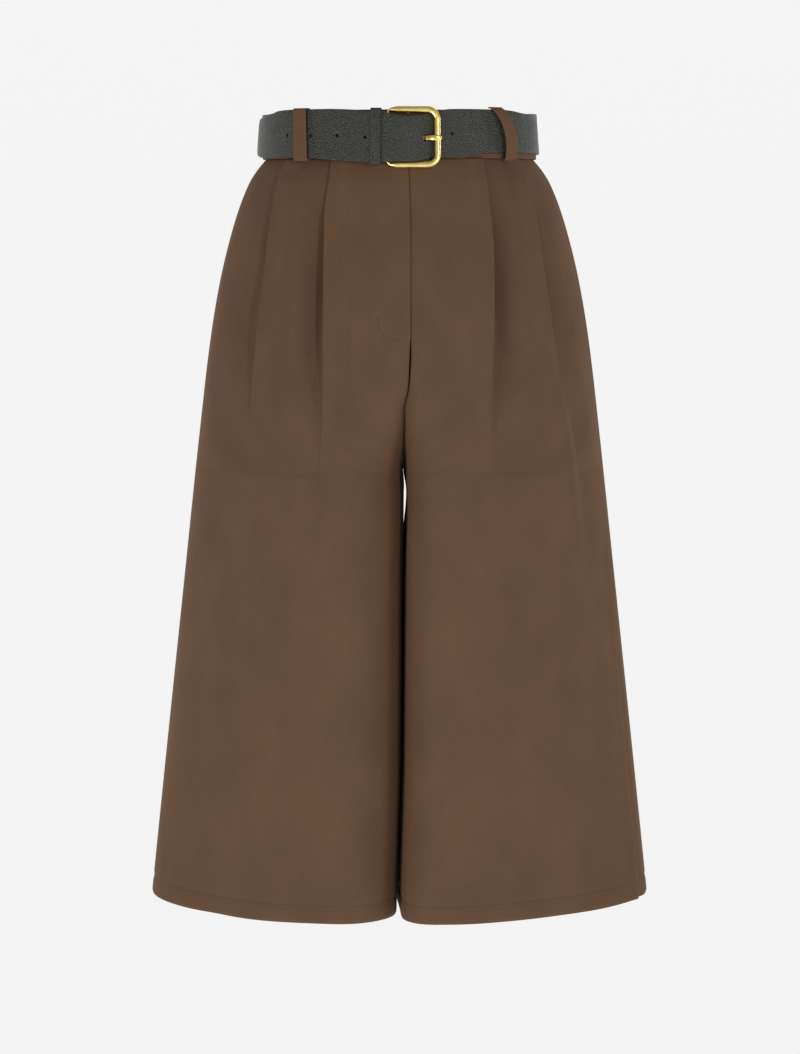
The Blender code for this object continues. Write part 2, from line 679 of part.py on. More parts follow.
def band_outline():
    """The waistband's outer surface from the middle of the front, towards the wearer's right."""
    angle = np.linspace(0.0, 2 * math.pi, OUTLINE_STEPS + 1)
    depth = np.where(np.cos(angle) > 0, BAND_FRONT, BAND_BACK)
    x = -BAND_HALF_WIDTH * np.sin(angle)
    y = -depth * np.cos(angle)
    length = np.concatenate([[0.0], np.cumsum(np.hypot(np.diff(x), np.diff(y)))])
    return x, y, length


def on_band(way_round, out, height):
    """A point out from the waistband's surface, at a length round it from the middle of the front."""
    out = out + BAND_FLARE * -height / WAISTBAND_HEIGHT
    x, y, length = band_outline()
    at = way_round % length[-1]
    point = np.array([np.interp(at, length, x), np.interp(at, length, y)])
    ahead = (at + 0.5) % length[-1]
    behind = (at - 0.5) % length[-1]
    run = np.array([
        np.interp(ahead, length, x) - np.interp(behind, length, x),
        np.interp(ahead, length, y) - np.interp(behind, length, y),
    ])
    run = run / np.hypot(*run)
    return np.array([point[0] - out * run[1], point[1] + out * run[0], height])


def build_waistband():
    """A straight band that opens over the fly."""
    perimeter = band_outline()[2][-1]
    opening = -column(CENTRE_COLUMNS, CENTRE_ROWS, "front_x")[0]
    start = opening + SEAM_GAP / 2
    stop = opening + perimeter - SEAM_GAP / 2
    rounds = column(BAND_TOP_COLUMNS, BAND_TOP_ROWS, "round")
    tops = column(BAND_TOP_COLUMNS, BAND_TOP_ROWS, "top")
    sections = []
    for way_round in np.linspace(start, stop, BAND_STEPS + 1):
        from_front = (way_round + perimeter / 2) % perimeter - perimeter / 2
        top = float(np.interp(from_front, rounds, tops))
        sections.append([
            on_band(way_round, 0.0, top),
            on_band(way_round, -BAND_WALL, top),
            on_band(way_round, -BAND_WALL, -WAISTBAND_HEIGHT),
            on_band(way_round, 0.0, -WAISTBAND_HEIGHT),
        ])
    return loft("waistband", sections, "cloth")


def build_loops():
    """Cloth loops that hold the belt, the front ones stretched and slack as they hang."""
    for number, row in enumerate(LOOP_ROWS, start=1):
        loop = dict(zip(LOOP_COLUMNS, row))
        foot, head = loop["foot"], loop["head"]
        clear = loop["clear"]
        out_most = clear + LOOP_WALL
        slack = loop["slack"]
        below = foot - LOOP_WALL
        # Share of the way from foot to head, out and height: the outer side's path from the band's
        # bottom edge, round the belt and back to the band's top edge
        path = (
            (0.0, SEAM_GAP, LOOP_ROOT),
            (0.0, clear - LOOP_TURN, (LOOP_ROOT + 2 * below) / 3),
            (0.0, clear, below),
            (0.0, clear + 0.7 * LOOP_WALL, foot - 0.3 * LOOP_WALL),
            (0.05, out_most + 0.3 * slack, foot + LOOP_TURN),
            (0.35, out_most + 0.9 * slack, foot + 0.35 * (head - foot)),
            (0.70, out_most + slack, foot + 0.70 * (head - foot)),
            (0.95, out_most + 0.4 * slack, head - LOOP_TURN),
            (1.0, clear + 0.7 * LOOP_WALL, head + 0.3 * LOOP_WALL),
            (1.0, clear - 0.4 * LOOP_WALL, head + LOOP_WALL),
            (1.0, SEAM_GAP, head + LOOP_WALL),
        )
        sections = []
        for i, (share, out, height) in enumerate(path):
            before, after = path[max(i - 1, 0)], path[min(i + 1, len(path) - 1)]
            run = np.array([after[1] - before[1], after[2] - before[2]])
            run = run / np.hypot(*run)
            sideways = share ** loop["lean"] * (loop["head_round"] - loop["foot_round"])
            middle = loop["foot_round"] + sideways
            corners = []
            for edge, layer in ((-1, 0), (1, 0), (1, 1), (-1, 1)):
                way_round = middle + edge * loop["width"] / 2
                inward = layer * LOOP_WALL
                corners.append(on_band(way_round, out - inward * run[1], height + inward * run[0]))
            sections.append(corners)
        loft(f"belt_loop_{number}", sections, "cloth")


def belt_path():
    """The belt's sections: way round, out, thickness, top and bottom, with extra rows on long runs."""
    perimeter = band_outline()[2][-1]
    values = {name: column(BELT_COLUMNS, BELT_ROWS, name) for name in BELT_COLUMNS}
    values["round"] = values["round"] + values["lap"] * perimeter
    rows = []
    for i in range(len(BELT_ROWS) - 1):
        run = abs(values["round"][i + 1] - values["round"][i])
        steps = max(1, int(math.ceil(run / BELT_STEP)))
        for k in range(steps):
            t = k / steps
            rows.append([
                values[name][i] * (1 - t) + values[name][i + 1] * t for name in BELT_COLUMNS[1:]
            ])
    rows.append([values[name][-1] for name in BELT_COLUMNS[1:]])
    return rows


def build_belt_strap():
    """The leather strap, with its holes and the slots that the prong goes through."""
    rows = belt_path()
    middles = np.array([on_band(row[0], row[1], 0.0)[:2] for row in rows])
    run = np.gradient(middles, axis=0)
    run = run / np.hypot(run[:, 0], run[:, 1])[:, None]
    outward = np.stack([-run[:, 1], run[:, 0]], axis=1)
    sections = []
    for (way_round, out, thickness, top, bottom), (across, deep) in zip(rows, outward):
        half = np.array([across, deep, 0.0]) * thickness / 2
        high, low = on_band(way_round, out, top), on_band(way_round, out, bottom)
        sections.append([high + half, high - half, low - half, low + half])
    strap = loft("belt_strap", sections, "leather")
    strap.data.shade_flat()
    angles = np.linspace(0.0, 2 * math.pi, BELT_HOLE_CORNERS + 1)[:-1]
    for number, (way_round, height, near, far) in enumerate(BELT_HOLES, start=1):
        circle = [
            (way_round + BELT_HOLE_RADIUS * math.cos(angle), BELT_HOLE_RADIUS * math.sin(angle))
            for angle in angles
        ]
        cut(strap, cutter_bar(f"hole_{number}", circle, height, near, far))
    for name, (low, high, near, far) in (("tip_slot", TIP_SLOT), ("hinge_slot", HINGE_SLOT)):
        reach = SLOT_HALF_HEIGHT
        corners = [(low, -reach), (high, -reach), (high, reach), (low, reach)]
        cut(strap, cutter_bar(name, corners, PRONG_HEIGHT, near, far))


def cutter_bar(name, outline, height, near, far):
    """A bar that cuts outwards through the strap; the outline is way round and height."""
    sections = [
        [on_band(way_round, out, height + rise) for way_round, rise in outline]
        for out in (near, far)
    ]
    cutter = loft(name, sections, "leather")
    cutter.hide_render = True
    cutter.display_type = "WIRE"
    return cutter


def cut(obj, cutter):
    """Takes the cutter away from the object."""
    boolean = obj.modifiers.new("Cut " + cutter.name, "BOOLEAN")
    boolean.operation = "DIFFERENCE"
    boolean.solver = "EXACT"
    boolean.object = cutter


def build_keeper():
    """The leather band round both layers of the strap."""
    near, far = SEAM_GAP, KEEPER_OUT
    path = (
        (near, KEEPER_TOP - KEEPER_BEND),
        (near + KEEPER_BEND, KEEPER_TOP),
        (far - KEEPER_BEND, KEEPER_TOP),
        (far, KEEPER_TOP - KEEPER_BEND),
        (far, KEEPER_BOTTOM + KEEPER_BEND),
        (far - KEEPER_BEND, KEEPER_BOTTOM),
        (near + KEEPER_BEND, KEEPER_BOTTOM),
        (near, KEEPER_BOTTOM + KEEPER_BEND),
    )
    middle_out, middle_height = (near + far) / 2, (KEEPER_TOP + KEEPER_BOTTOM) / 2
    inner_out = 1 - 2 * KEEPER_WALL / (far - near)
    inner_height = 1 - 2 * KEEPER_WALL / (KEEPER_TOP - KEEPER_BOTTOM)
    sections = []
    for out, height in path:
        inside = middle_out + (out - middle_out) * inner_out
        inside_height = middle_height + (height - middle_height) * inner_height
        low, high = KEEPER_ROUND
        sections.append([
            on_band(low, out, height),
            on_band(high, out, height),
            on_band(high, inside, inside_height),
            on_band(low, inside, inside_height),
        ])
    loft("belt_keeper", sections, "leather", closed=True)


def build_buckle_frame():
    """A rounded brass frame: full bars, thinning into the hinge bar inside the folded strap."""
    hinge = on_band(HINGE_ROUND, HINGE_OUT, 0.0)
    width = np.linalg.norm(on_band(FRONT_BAR_ROUND, FRONT_BAR_OUT, 0.0) - hinge)
    points = []
    for corner, middle_x, middle_z, first in (
        (HINGE_CORNER, HINGE_CORNER, BUCKLE_BOTTOM + HINGE_CORNER, 180),
        (BUCKLE_CORNER, width - BUCKLE_CORNER, BUCKLE_BOTTOM + BUCKLE_CORNER, 270),
        (BUCKLE_CORNER, width - BUCKLE_CORNER, BUCKLE_TOP - BUCKLE_CORNER, 0),
        (HINGE_CORNER, HINGE_CORNER, BUCKLE_TOP - HINGE_CORNER, 90),
    ):
        for turn in range(0, 91, BEND_TURN):
            angle = math.radians(first + turn)
            points.append((middle_x + corner * math.cos(angle), middle_z + corner * math.sin(angle)))
    curve = bpy.data.curves.new("buckle_frame", "CURVE")
    curve.dimensions = "3D"
    curve.bevel_depth = BAR_RADIUS * MM
    curve.bevel_resolution = 2
    spline = curve.splines.new("POLY")
    spline.points.add(len(points) - 1)
    spline.use_cyclic_u = True
    thin = HINGE_RADIUS / BAR_RADIUS
    for point, (across, height) in zip(spline.points, points):
        hinge = on_band(HINGE_ROUND, HINGE_OUT, height)
        front = on_band(FRONT_BAR_ROUND, FRONT_BAR_OUT, height)
        place = hinge + (front - hinge) * across / width
        point.co = (*(place * MM), 1.0)
        point.radius = thin + (1 - thin) * float(ease(across / BUCKLE_CORNER))
    new_object("buckle_frame", curve, "brass")


def build_prong():
    """A flat brass prong, its eye round the hinge bar and its tip over the front bar."""
    middles = np.array([on_band(row[0], row[1], PRONG_HEIGHT)[:2] for row in PRONG_ROWS])
    run = np.gradient(middles, axis=0)
    run = run / np.hypot(run[:, 0], run[:, 1])[:, None]
    sections = []
    for (_, _, half), middle, (run_x, run_y) in zip(PRONG_ROWS, middles, run):
        section = []
        for angle in np.linspace(0.0, 2 * math.pi, PRONG_CORNERS + 1)[:-1]:
            out = half * math.cos(angle)
            rise = PRONG_HALF_HEIGHT * math.sin(angle)
            section.append((middle[0] - out * run_y, middle[1] + out * run_x, PRONG_HEIGHT + rise))
        sections.append(section)
    loft("buckle_prong", sections, "brass")


def build_zip():
    """The closed zip behind the fly, made from the front's own points moved in."""
    heights = np.linspace(-WAISTBAND_HEIGHT - WAIST_SEAM, ZIP_END, ZIP_ROWS)
    inward = -(FLY_LAP + CLOTH_WALL + ZIP_CLEAR)
    columns = []
    for side, share in ZIP_COLUMNS:
        lengths = np.full(len(heights), share * ZIP_HALF_WIDTH)
        x, y = point_on_ring(side, -1, heights, lengths, np.full(len(heights), inward))
        columns.append(np.stack([x, y, heights], axis=1))
    grid = np.stack(columns, axis=1)
    rows, count = grid.shape[:2]
    mesh = mesh_from("fly_zip", grid.reshape(-1, 3), grid_faces(rows, count, True))
    obj = new_object("fly_zip", mesh, "zip")
    wall = obj.modifiers.new("Wall", "SOLIDIFY")
    wall.thickness = ZIP_WALL * MM
    wall.offset = -1.0


def clear_scene():
    for obj in list(bpy.data.objects):
        bpy.data.objects.remove(obj, do_unlink=True)


def main():
    clear_scene()
    build_panel("front_right", -1, -1, (6, 3, 4))
    build_panel("front_left", 1, -1, (6, 3, 4))
    build_panel("back_right", -1, 1, 14)
    build_panel("back_left", 1, 1, 14)
    build_waistband()
    build_loops()
    build_belt_strap()
    build_keeper()
    build_buckle_frame()
    build_prong()
    build_zip()


main()
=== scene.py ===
"""The looks of the wide-leg capri trousers: brushed twill, sewing, leather belt and brass buckle.

The tables follow those of the trousers' own source, with deeper pleats and a finer grid, because
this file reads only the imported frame. Everything is in millimetres until mesh_from turns it into
metres, apart from the camera, the stage and the lights, which are in metres.
"""

import functools
import math

import bmesh
import bpy
import numpy as np
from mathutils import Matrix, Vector

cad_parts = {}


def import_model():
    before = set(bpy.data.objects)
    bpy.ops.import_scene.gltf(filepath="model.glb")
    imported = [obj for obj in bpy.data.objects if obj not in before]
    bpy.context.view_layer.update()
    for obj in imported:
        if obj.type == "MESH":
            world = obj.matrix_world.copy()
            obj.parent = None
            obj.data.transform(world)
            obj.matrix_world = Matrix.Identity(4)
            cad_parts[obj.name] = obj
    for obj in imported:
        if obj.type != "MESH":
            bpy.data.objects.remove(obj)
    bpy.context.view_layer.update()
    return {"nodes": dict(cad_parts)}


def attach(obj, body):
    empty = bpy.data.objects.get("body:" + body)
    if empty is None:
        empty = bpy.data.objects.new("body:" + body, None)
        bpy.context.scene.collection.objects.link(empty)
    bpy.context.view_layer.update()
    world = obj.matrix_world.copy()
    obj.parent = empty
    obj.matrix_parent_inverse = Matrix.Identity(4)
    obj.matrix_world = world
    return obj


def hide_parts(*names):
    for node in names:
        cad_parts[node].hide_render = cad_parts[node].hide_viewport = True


MM = 0.001

# All sizes are in millimetres, and heights count down from the waistband's top edge
WAISTBAND_HEIGHT = 42.5
HEM_HEIGHT = -702.0
HEM_DEPTH = 15.5
# The hem hangs lower at the front and back than at the sides
HEM_DIP = 11.3
CLOTH_WALL = 1.2
HEM_WALL = 2.4
BAND_WALL = 2.4
WAIST_SEAM = 0.2
LEG_GAP = 3.0

# The outline of both legs together, from the waist seam to the hem
BODY_COLUMNS = ("height", "half_width", "front_depth", "back_depth", "squareness")
BODY_ROWS = (
    (-42.5, 119, 86.8, 86.3, 2.05),
    (-52, 126.8, 90, 90.6, 2.10),
    (-64, 134.2, 93.4, 96.2, 2.15),
    (-96, 146.4, 98.5, 106.5, 2.20),
    (-149, 160, 105.5, 118, 2.25),
    (-203, 169.2, 110, 123.5, 2.30),
    (-293, 180, 111.5, 121, 2.35),
    (-400, 191.8, 108.5, 114, 2.30),
    (-550, 208.3, 104, 107.5, 2.20),
    (-720, 226.6, 101, 105, 2.08),
)

# Where the middle of the front lies: the fly's edge, the crotch seam, then the gap between the legs.
# The turn is how far this line has moved sideways by the time it reaches the back: it starts to
# turn TURN_START behind the middle of the trousers (negative is in front) and takes TURN_RUN.
CENTRE_COLUMNS = ("height", "front_x", "turn")
CENTRE_ROWS = (
    (-42.5, 7.7, -7.7),
    (-125, 9.6, -9.6),
    (-203, 9.6, -9.6),
    (-240, 8.2, -8.2),
    (-260, 4.4, -4.4),
    (-318, 4.6, -2),
    (-335, 5.4, -0.6),
    (-350, 5.4, -1),
    (-385, 4.8, -4),
    (-430, 4.4, -5),
    (-560, 3.5, -5),
    (-650, 1, -5),
    (-720, -0.5, -5),
)
TURN_START = -80.0
TURN_RUN = 120.0

# Where the front and back faces are centred, past the corners that follow the line above
FACE_COLUMNS = ("height", "front_x", "back_x")
FACE_ROWS = (
    (-42.5, 7.7, 0),
    (-125, 9.6, 0),
    (-203, 9.6, 0),
    (-300, 7, 0.6),
    (-430, 4.4, -0.6),
    (-560, 3.5, -1.5),
    (-720, -0.5, -5.5),
)

# Where the side seam lies, in front of the widest place when it is negative
SIDE_SEAM_COLUMNS = ("height", "right_y", "left_y")
SIDE_SEAM_ROWS = (
    (-42.5, -18, -18),
    (-150, -4, -21),
    (-330, 8, -26),
    (-433, 8, -37),
    (-720, 8, -34),
)

# Each knife pleat's folded edge, from the waist seam to the hem that it fades towards
PLEAT_COLUMNS = ("height", "right_inner", "right_outer", "left_inner", "left_outer")
PLEAT_ROWS = (
    (-42.5, -58, -96.5, 71.5, 102),
    (-57, -60, -103.5, 74, 109),
    (-95, -64.8, -111, 79, 117.5),
    (-130, -65.4, -115, 81.6, 122.8),
    (-180, -66, -120.5, 82, 130.8),
    (-250, -67.4, -127, 80, 142),
    (-305, -69, -131, 81, 153),
    (-720, -86, -152, 92, 172),
)

# How far each pleat is still folded, and how high its ridge and how deep its valley stand
FOLD_COLUMNS = ("height", "folded", "ridge", "valley", "spread")
FOLD_ROWS = (
    (-42.5, 1, 3.2, 0, 1),
    (-60, 0.82, 4, -4.6, 1),
    (-85, 0.52, 4.8, -8.8, 1),
    (-115, 0.28, 5, -11.6, 1),
    (-150, 0.12, 4.6, -12.4, 1.05),
    (-190, 0, 3.8, -11.2, 1.1),
    (-225, 0, 2.6, -6.8, 1.15),
    (-270, 0, 1, -2.6, 1.2),
    (-330, 0, 0.2, -0.6, 1.25),
    (-380, 0, 0, 0, 1.3),
    (-720, 0, 0, 0, 1.3),
)

# One pleat's section, from the middle of the front outwards: across from the folded edge and
# outwards from the cloth, folded flat and then opened into a ridge and a valley
SECTION_COLUMNS = ("folded_across", "folded_out", "open_across", "open_ridge", "open_valley")
SECTION_ROWS = (
    (-18, 0, -18, 0, 0),
    (-12.4, 4, -12, 0.45, 0),
    (-6, 4.2, -7, 0.85, 0),
    (-0.6, 4, -2.8, 1, 0),
    (0, 2.2, -1, 0.92, 0),
    (-0.6, 0.4, -0.2, 0.6, 0.1),
    (-6, 0.4, 0.5, 0.2, 0.45),
    (-11.4, 0.4, 1.6, 0, 0.8),
    (-12, 0.2, 4.2, 0, 1),
    (-11.4, 0, 8.4, 0, 0.86),
    (-4, 0, 16, 0, 0.48),
    (14, 0, 26, 0, 0),
)
SECTION_STEPS = 3
# How deep each side's inner and outer pleat's valleys are, as shares of the table's
VALLEY_SHARES = {-1: (1.0, 0.5), 1: (1.05, 0.5)}

# Soft folds and creases in the cloth, as ridges (lift over 0) and troughs: side +1 is the wearer's
# left, face -1 is the front, and each runs from its top to its bottom
DRAPE_COLUMNS = ("side", "face", "top", "bottom", "top_x", "bottom_x", "width", "lift")
DRAPE_ROWS = (
    (1, -1, -225, -420, 134, 160, 8, 5.4),
    (-1, -1, -205, -330, -62, -66, 9, -1.6),
    (-1, -1, -150, -300, -48, -50, 5.5, -2.4),
    (-1, -1, -330, -720, -112, -122, 30, 2.6),
    (-1, -1, -330, -720, -150, -166, 16, -2.4),
    (1, -1, -340, -720, 54, 60, 26, 2.4),
    (1, -1, -360, -720, 128, 142, 28, -2.2),
    (-1, -1, -340, -720, -36, -40, 20, 1.6),
    (1, 1, -230, -720, 70, 78, 28, 4),
    (1, 1, -260, -720, 128, 150, 24, -3),
    (-1, 1, -240, -720, -62, -74, 26, 3.6),
    (-1, 1, -280, -720, -122, -140, 24, -2.6),
)
CREASE_ROWS = (
    (-1, -1, -60, -125, -34, -38, 6, -0.5),
    (-1, -1, -88, -150, -36, -46, 7, -0.6),
    (-1, -1, -110, -300, -119, -123, 7, 2.6),
    (-1, -1, -240, -330, -18, -30, 9, -0.6),
    (-1, -1, -420, -610, -74, -80, 10, -0.5),
    (-1, -1, -470, -690, -160, -176, 12, -0.6),
    (1, -1, -70, -170, 40, 43, 9, -0.4),
    (1, -1, -180, -330, 98, 106, 14, -3),
    (1, -1, -205, -300, 60, 62, 7, -0.6),
    (1, -1, -250, -370, 24, 36, 9, -0.5),
    (1, -1, -430, -560, 92, 100, 10, -0.5),
    (1, -1, -560, -700, 160, 176, 11, -0.7),
    (-1, 1, -120, -250, -40, -50, 12, -0.8),
    (-1, 1, -290, -420, -28, -44, 9, -0.9),
    (-1, 1, -330, -560, -96, -104, 12, 0.8),
    (1, 1, -130, -260, 44, 50, 12, -0.8),
    (1, 1, -285, -400, 26, 44, 9, -0.9),
    (1, 1, -360, -600, 104, 112, 12, 0.9),
)
# The share of a fold's length over which it rises from nothing
DRAPE_FADE = 1 / 3

# Between these heights the centre seam runs under the body, and its sides part to the leg gap
CROTCH_TOP = -168.0
CROTCH_BOTTOM = -318.0
CROTCH_SQUARENESS = 2.3
SEAM_OPENING = 20.0
LEG_OPENING = 30.0

# The rounded corners where each leg's inner wall turns into its front and back, for each side
CORNER_COLUMNS = ("side", "front_across", "front_deep", "back_across", "back_deep")
CORNER_ROWS = (
    (-1, 62, 58, 50, 56),
    (1, 28, 36, 50, 56),
)
CORNER_SHARPNESS = 5.0
# Where a corner starts to widen, above CROTCH_TOP, and how far down it reaches its full width
CORNER_TOP = -120.0
CORNER_RUN = 210.0
# Points along the inner wall, as many round the corner, and along the rest of a quarter ring
WALL_STEPS = 36
CORNER_END = 2 * WALL_STEPS
SWEEP_STEPS = 4 * WALL_STEPS

# The grid of a panel: rows to the hip, to the crotch's bottom, to the hem and in the hem, how much
# they crowd towards the waist along the centre and along the side, and over how much of the panel's
# width the centre's heights bend into the side's
HIP_ROWS = 60
CROTCH_ROWS = 104
LEG_ROWS = 204
HEM_ROWS = 8
INNER_CROWDING = 1.15
OUTER_CROWDING = 1.2
BEND_SHARE = 0.4
FRONT_COLUMNS = (20, 12, 12)
BACK_COLUMNS = 62

# The fly: the wearer's right side laps over the left by FLY_LAP outwards
FLY_END = -204.0
FLY_LAP = 0.6
FLY_WIDTH = 27.0
FLY_FADE = 10.0

# The cloth is drawn in along the lower end of the fly's stitching, and sinks a little above it
FLY_GROOVE = 0.9
FLY_GROOVE_WIDTH = 1.5
FLY_HOLLOW = 0.9
FLY_HOLLOW_PLACE = (-9.0, -193.5)
FLY_HOLLOW_WIDTH = 9.0
FLY_HOLLOW_HEIGHT = 6.0

# How far from each seam the columns beside it lie, and how far the cloth rolls in at a seam
SEAM_COLUMNS = (0.0, 0.5, 1.1, 2.0, 3.4, 5.6)
ROLL_DEPTH = 0.9
ROLL_WIDTH = 1.3
# Below the hip the front stands proud of the back at the wearer's left side seam
PROUD_TOP = -300.0
PROUD_RUN = 120.0
PROUD_WIDTH = 14.0
PROUD_FRONT = 1.8
PROUD_BACK = -3.2

# The sewing
STITCH_LENGTH = 2.6
STITCH_SPACING = 3.4
STITCH_RADIUS = 0.28
STITCH_SINK = 0.05
STITCH_GROOVE = 0.7
STITCH_GROOVE_WIDTH = 1.2
# A stitch's sides, and its rings as the share of its length and of its radius
STITCH_SIDES = 6
STITCH_RINGS = ((0.0, 0.35), (0.15, 0.9), (0.5, 1.0), (0.85, 0.9), (1.0, 0.35))
# How far round a point of the fly's stitching the cloth's points count towards its place
STITCH_REACH = 2.0
# A stitch is upright when the height of its direction is over this
UPRIGHT = 0.9
# The lower end of the fly's topstitching, across and height, and how many points it is drawn with
FLY_STITCH_ROWS = (
    (-18.4, -178.9),
    (-17.7, -187.4),
    (-14.2, -195.9),
    (-6.7, -198.6),
    (7, -201.6),
)
FLY_POINTS = 40

# The waistband's top edge, and how much wider it is all round at its bottom edge
BAND_HALF_WIDTH = 118.8
BAND_FRONT = 87.2
BAND_BACK = 86.2
BAND_FLARE = 3.0
BAND_ROUNDING = 1.0
BAND_STEPS = 240
BAND_FLAT_STEPS = 8
OUTLINE_STEPS = 1440
# Over how far to each side a direction round the band is measured
OUTLINE_REACH = 0.5
# Where the band's top edge lies, as (way round, height) pairs: it sinks below the belt's at the sides
BAND_TOP_ROWS = (
    (-330, 0),
    (-230, -0.6),
    (-160, -3.4),
    (-120, -2.2),
    (-70, -0.9),
    (0, -0.6),
    (70, -0.9),
    (120, -3.6),
    (160, -5.4),
    (230, -0.6),
    (330, 0),
)

# The belt's middle line, from the folded buckle end, round the waist and over itself to the tip:
# the first column is lap 0 the first time round and lap 1 the second, then the way round the
# waistband from the middle of the front towards the wearer's right, the way out from the band, the
# thickness, and the heights of the top and bottom edges
BELT_ROWS = (
    (0, 40, 2, 1.2, -4, -42.3),
    (0, 27, 2.2, 1.4, -4, -42.3),
    (0, 14, 2.1, 1.4, -5, -42),
    (0, 10.6, 1.9, 1.4, -7, -41.4),
    (0, 8.5, 2.7, 1.4, -7, -41.4),
    (0, 7.7, 4.3, 1.4, -7, -41.4),
    (0, 8.5, 5.9, 1.4, -7, -41.4),
    (0, 10.6, 6.7, 1.4, -7, -41.6),
    (0, 13.2, 6, 1.5, -4.6, -43.4),
    (0, 16.5, 4.6, 1.8, -1.6, -45.6),
    (0, 26, 4.3, 1.8, -1, -45.2),
    (0, 36, 3.9, 2, -0.9, -44.4),
    (0, 46, 2.4, 2.2, -0.4, -43),
    (0, 58, 1.8, 2.4, 0, -42.2),
    (0, 95, 1.8, 2.4, 0, -40.8),
    (0, 140, 1.8, 2.4, -3.2, -40.6),
    (0, 200, 1.8, 2.4, -1.5, -40.4),
    (0, 330, 1.8, 2.4, -0.4, -40.2),
    (0, 460, 1.8, 2.4, -1, -38.6),
    (0, 520, 1.8, 2.4, -3.2, -37.4),
    (0, 550, 1.8, 2.4, -0.4, -37.6),
    (0, 580, 1.8, 2.4, 0, -38.6),
    (1, -62, 1.8, 2.4, 0, -40.4),
    (1, -44, 1.8, 2.4, -0.2, -42.2),
    (1, -33, 1.8, 2.4, -2, -42.2),
    (1, -28, 2.1, 2.4, -3.2, -42.3),
    (1, -24, 3.7, 2.3, -4.2, -43.2),
    (1, -20, 5.2, 2.2, -5, -44.2),
    (1, -14, 6.7, 2.2, -5.7, -45),
    (1, -7, 8, 2.2, -6.2, -45.4),
    (1, 2, 9.1, 2.2, -5.2, -45.5),
    (1, 10.4, 9.2, 2.2, -3.6, -45.8),
    (1, 16, 7.6, 2.2, -2.6, -46.2),
    (1, 26, 7.1, 2.2, -1.9, -46),
    (1, 36, 6.4, 2.2, -1.4, -45.6),
    (1, 48, 4.9, 2.2, -0.5, -45),
    (1, 60, 4.4, 2, 0, -43.8),
    (1, 95, 4.4, 2, 0, -41.6),
    (1, 112, 4.4, 2, -0.6, -41.8),
    (1, 130, 4.4, 2, -4.6, -41.4),
    (1, 152, 4.4, 2, -7, -39),
    (1, 160, 4.5, 2, -14, -32),
)
BELT_STEP = 1.6
BELT_EDGE = 0.7
BELT_FLAT_STEPS = 16
HOLE_SIDES = 16
BELT_HOLE_RADIUS = 1.3
# Way round, height, and from how far out to how far out the punch goes
BELT_HOLES = (
    (-44.6, -21, -1, 6),
    (2.8, -26.4, 6.5, 12),
    (28.2, -24.5, 5.3, 12),
    (52.7, -23.1, 3.1, 9),
    (77.4, -22.8, 3.1, 9),
    (101.4, -22.4, 3.1, 9),
)

KEEPER_ROUND = (15.2, 23.8)
KEEPER_TOP = 0.6
KEEPER_BOTTOM = -48.2
KEEPER_OUT = 10.0
KEEPER_WALL = 0.9
KEEPER_BEND = 1.6
KEEPER_ROUNDING = KEEPER_WALL / 2.2
KEEPER_BEND_STEPS = 6

# The buckle's frame, as far round the band from the middle of the front and as far out
HINGE_ROUND = 10.4
HINGE_OUT = 4.3
HINGE_RADIUS = 0.9
FRONT_BAR_ROUND = -31.6
FRONT_BAR_OUT = 6.2
BAR_RADIUS = 2.9
BUCKLE_TOP = -0.7
BUCKLE_BOTTOM = -48.2
BUCKLE_CORNER = 9.0
HINGE_CORNER = 4.5
# Degrees from point to point round its corners, and the longest step along its bars
BUCKLE_TURN = 6
BUCKLE_STEP = 2.0
BAR_SMOOTHNESS = 8

PRONG_HEIGHT = -25.2
PRONG_HALF_HEIGHT = 2.3
# Its rounded section and end: a lower power is squarer
PRONG_POWER = 0.7
PRONG_SIDES = 24
PRONG_POINTS = 90
# How far from its tip it starts to round off, and the square of its share left at the tip
PRONG_END = 2.2
PRONG_END_LEAST = 0.02
# The way round, the way out and half the thickness along the prong, from its eye to its tip
PRONG_ROWS = (
    (9.6, 6.5, 0.7),
    (11.9, 6, 0.7),
    (12.8, 4.3, 0.7),
    (11.9, 2.6, 0.7),
    (10, 2, 0.7),
    (8, 2.6, 0.8),
    (0, 2.9, 0.9),
    (-12, 2.8, 0.9),
    (-17.5, 2.7, 0.8),
    (-20.5, 3.1, 0.8),
    (-23.5, 5.1, 0.9),
    (-26, 7.7, 1),
    (-28.4, 9.5, 1),
    (-31.6, 10, 1),
    (-34.6, 9.3, 0.9),
)
SLOT_HALF_HEIGHT = 2.7
TIP_SLOT = (-26.0, -19.6, -1.0, 7.5)
HINGE_SLOT = (4.5, 15.0, -1.0, 7.4)

# Each loop's foot and head round the waistband, its heights, its width, and how far it stands out
LOOP_COLUMNS = ("foot_round", "head_round", "lean", "foot", "head", "width", "clear", "slack")
LOOP_ROWS = (
    (85, 88, 1, -43.6, -0.2, 13, 6.6, 0),
    (-99.5, -87, 3, -43.4, 0.8, 12.4, 3.7, 4),
    (215, 215, 1, -42.2, 0, 13.5, 3.7, 0),
    (329, 329, 1, -42.2, 0, 13.5, 3.7, 0),
    (-215, -215, 1, -42.2, 0, 13.5, 3.7, 0),
)
LOOP_WALL = 1.2
LOOP_ROUNDING = 0.45
LOOP_POINTS = 64
# How far a loop and the keeper stand off the band, and the height where a loop leaves it
LOOP_GAP = 0.3
LOOP_ROOT = -WAISTBAND_HEIGHT + 0.1

# Points round each rounded corner of a strip, of a thin strip, and where a skin's edges turn sharp
CORNER_STEPS = 4
THIN_CORNER_STEPS = 3
SHARP_ANGLE = math.radians(60)

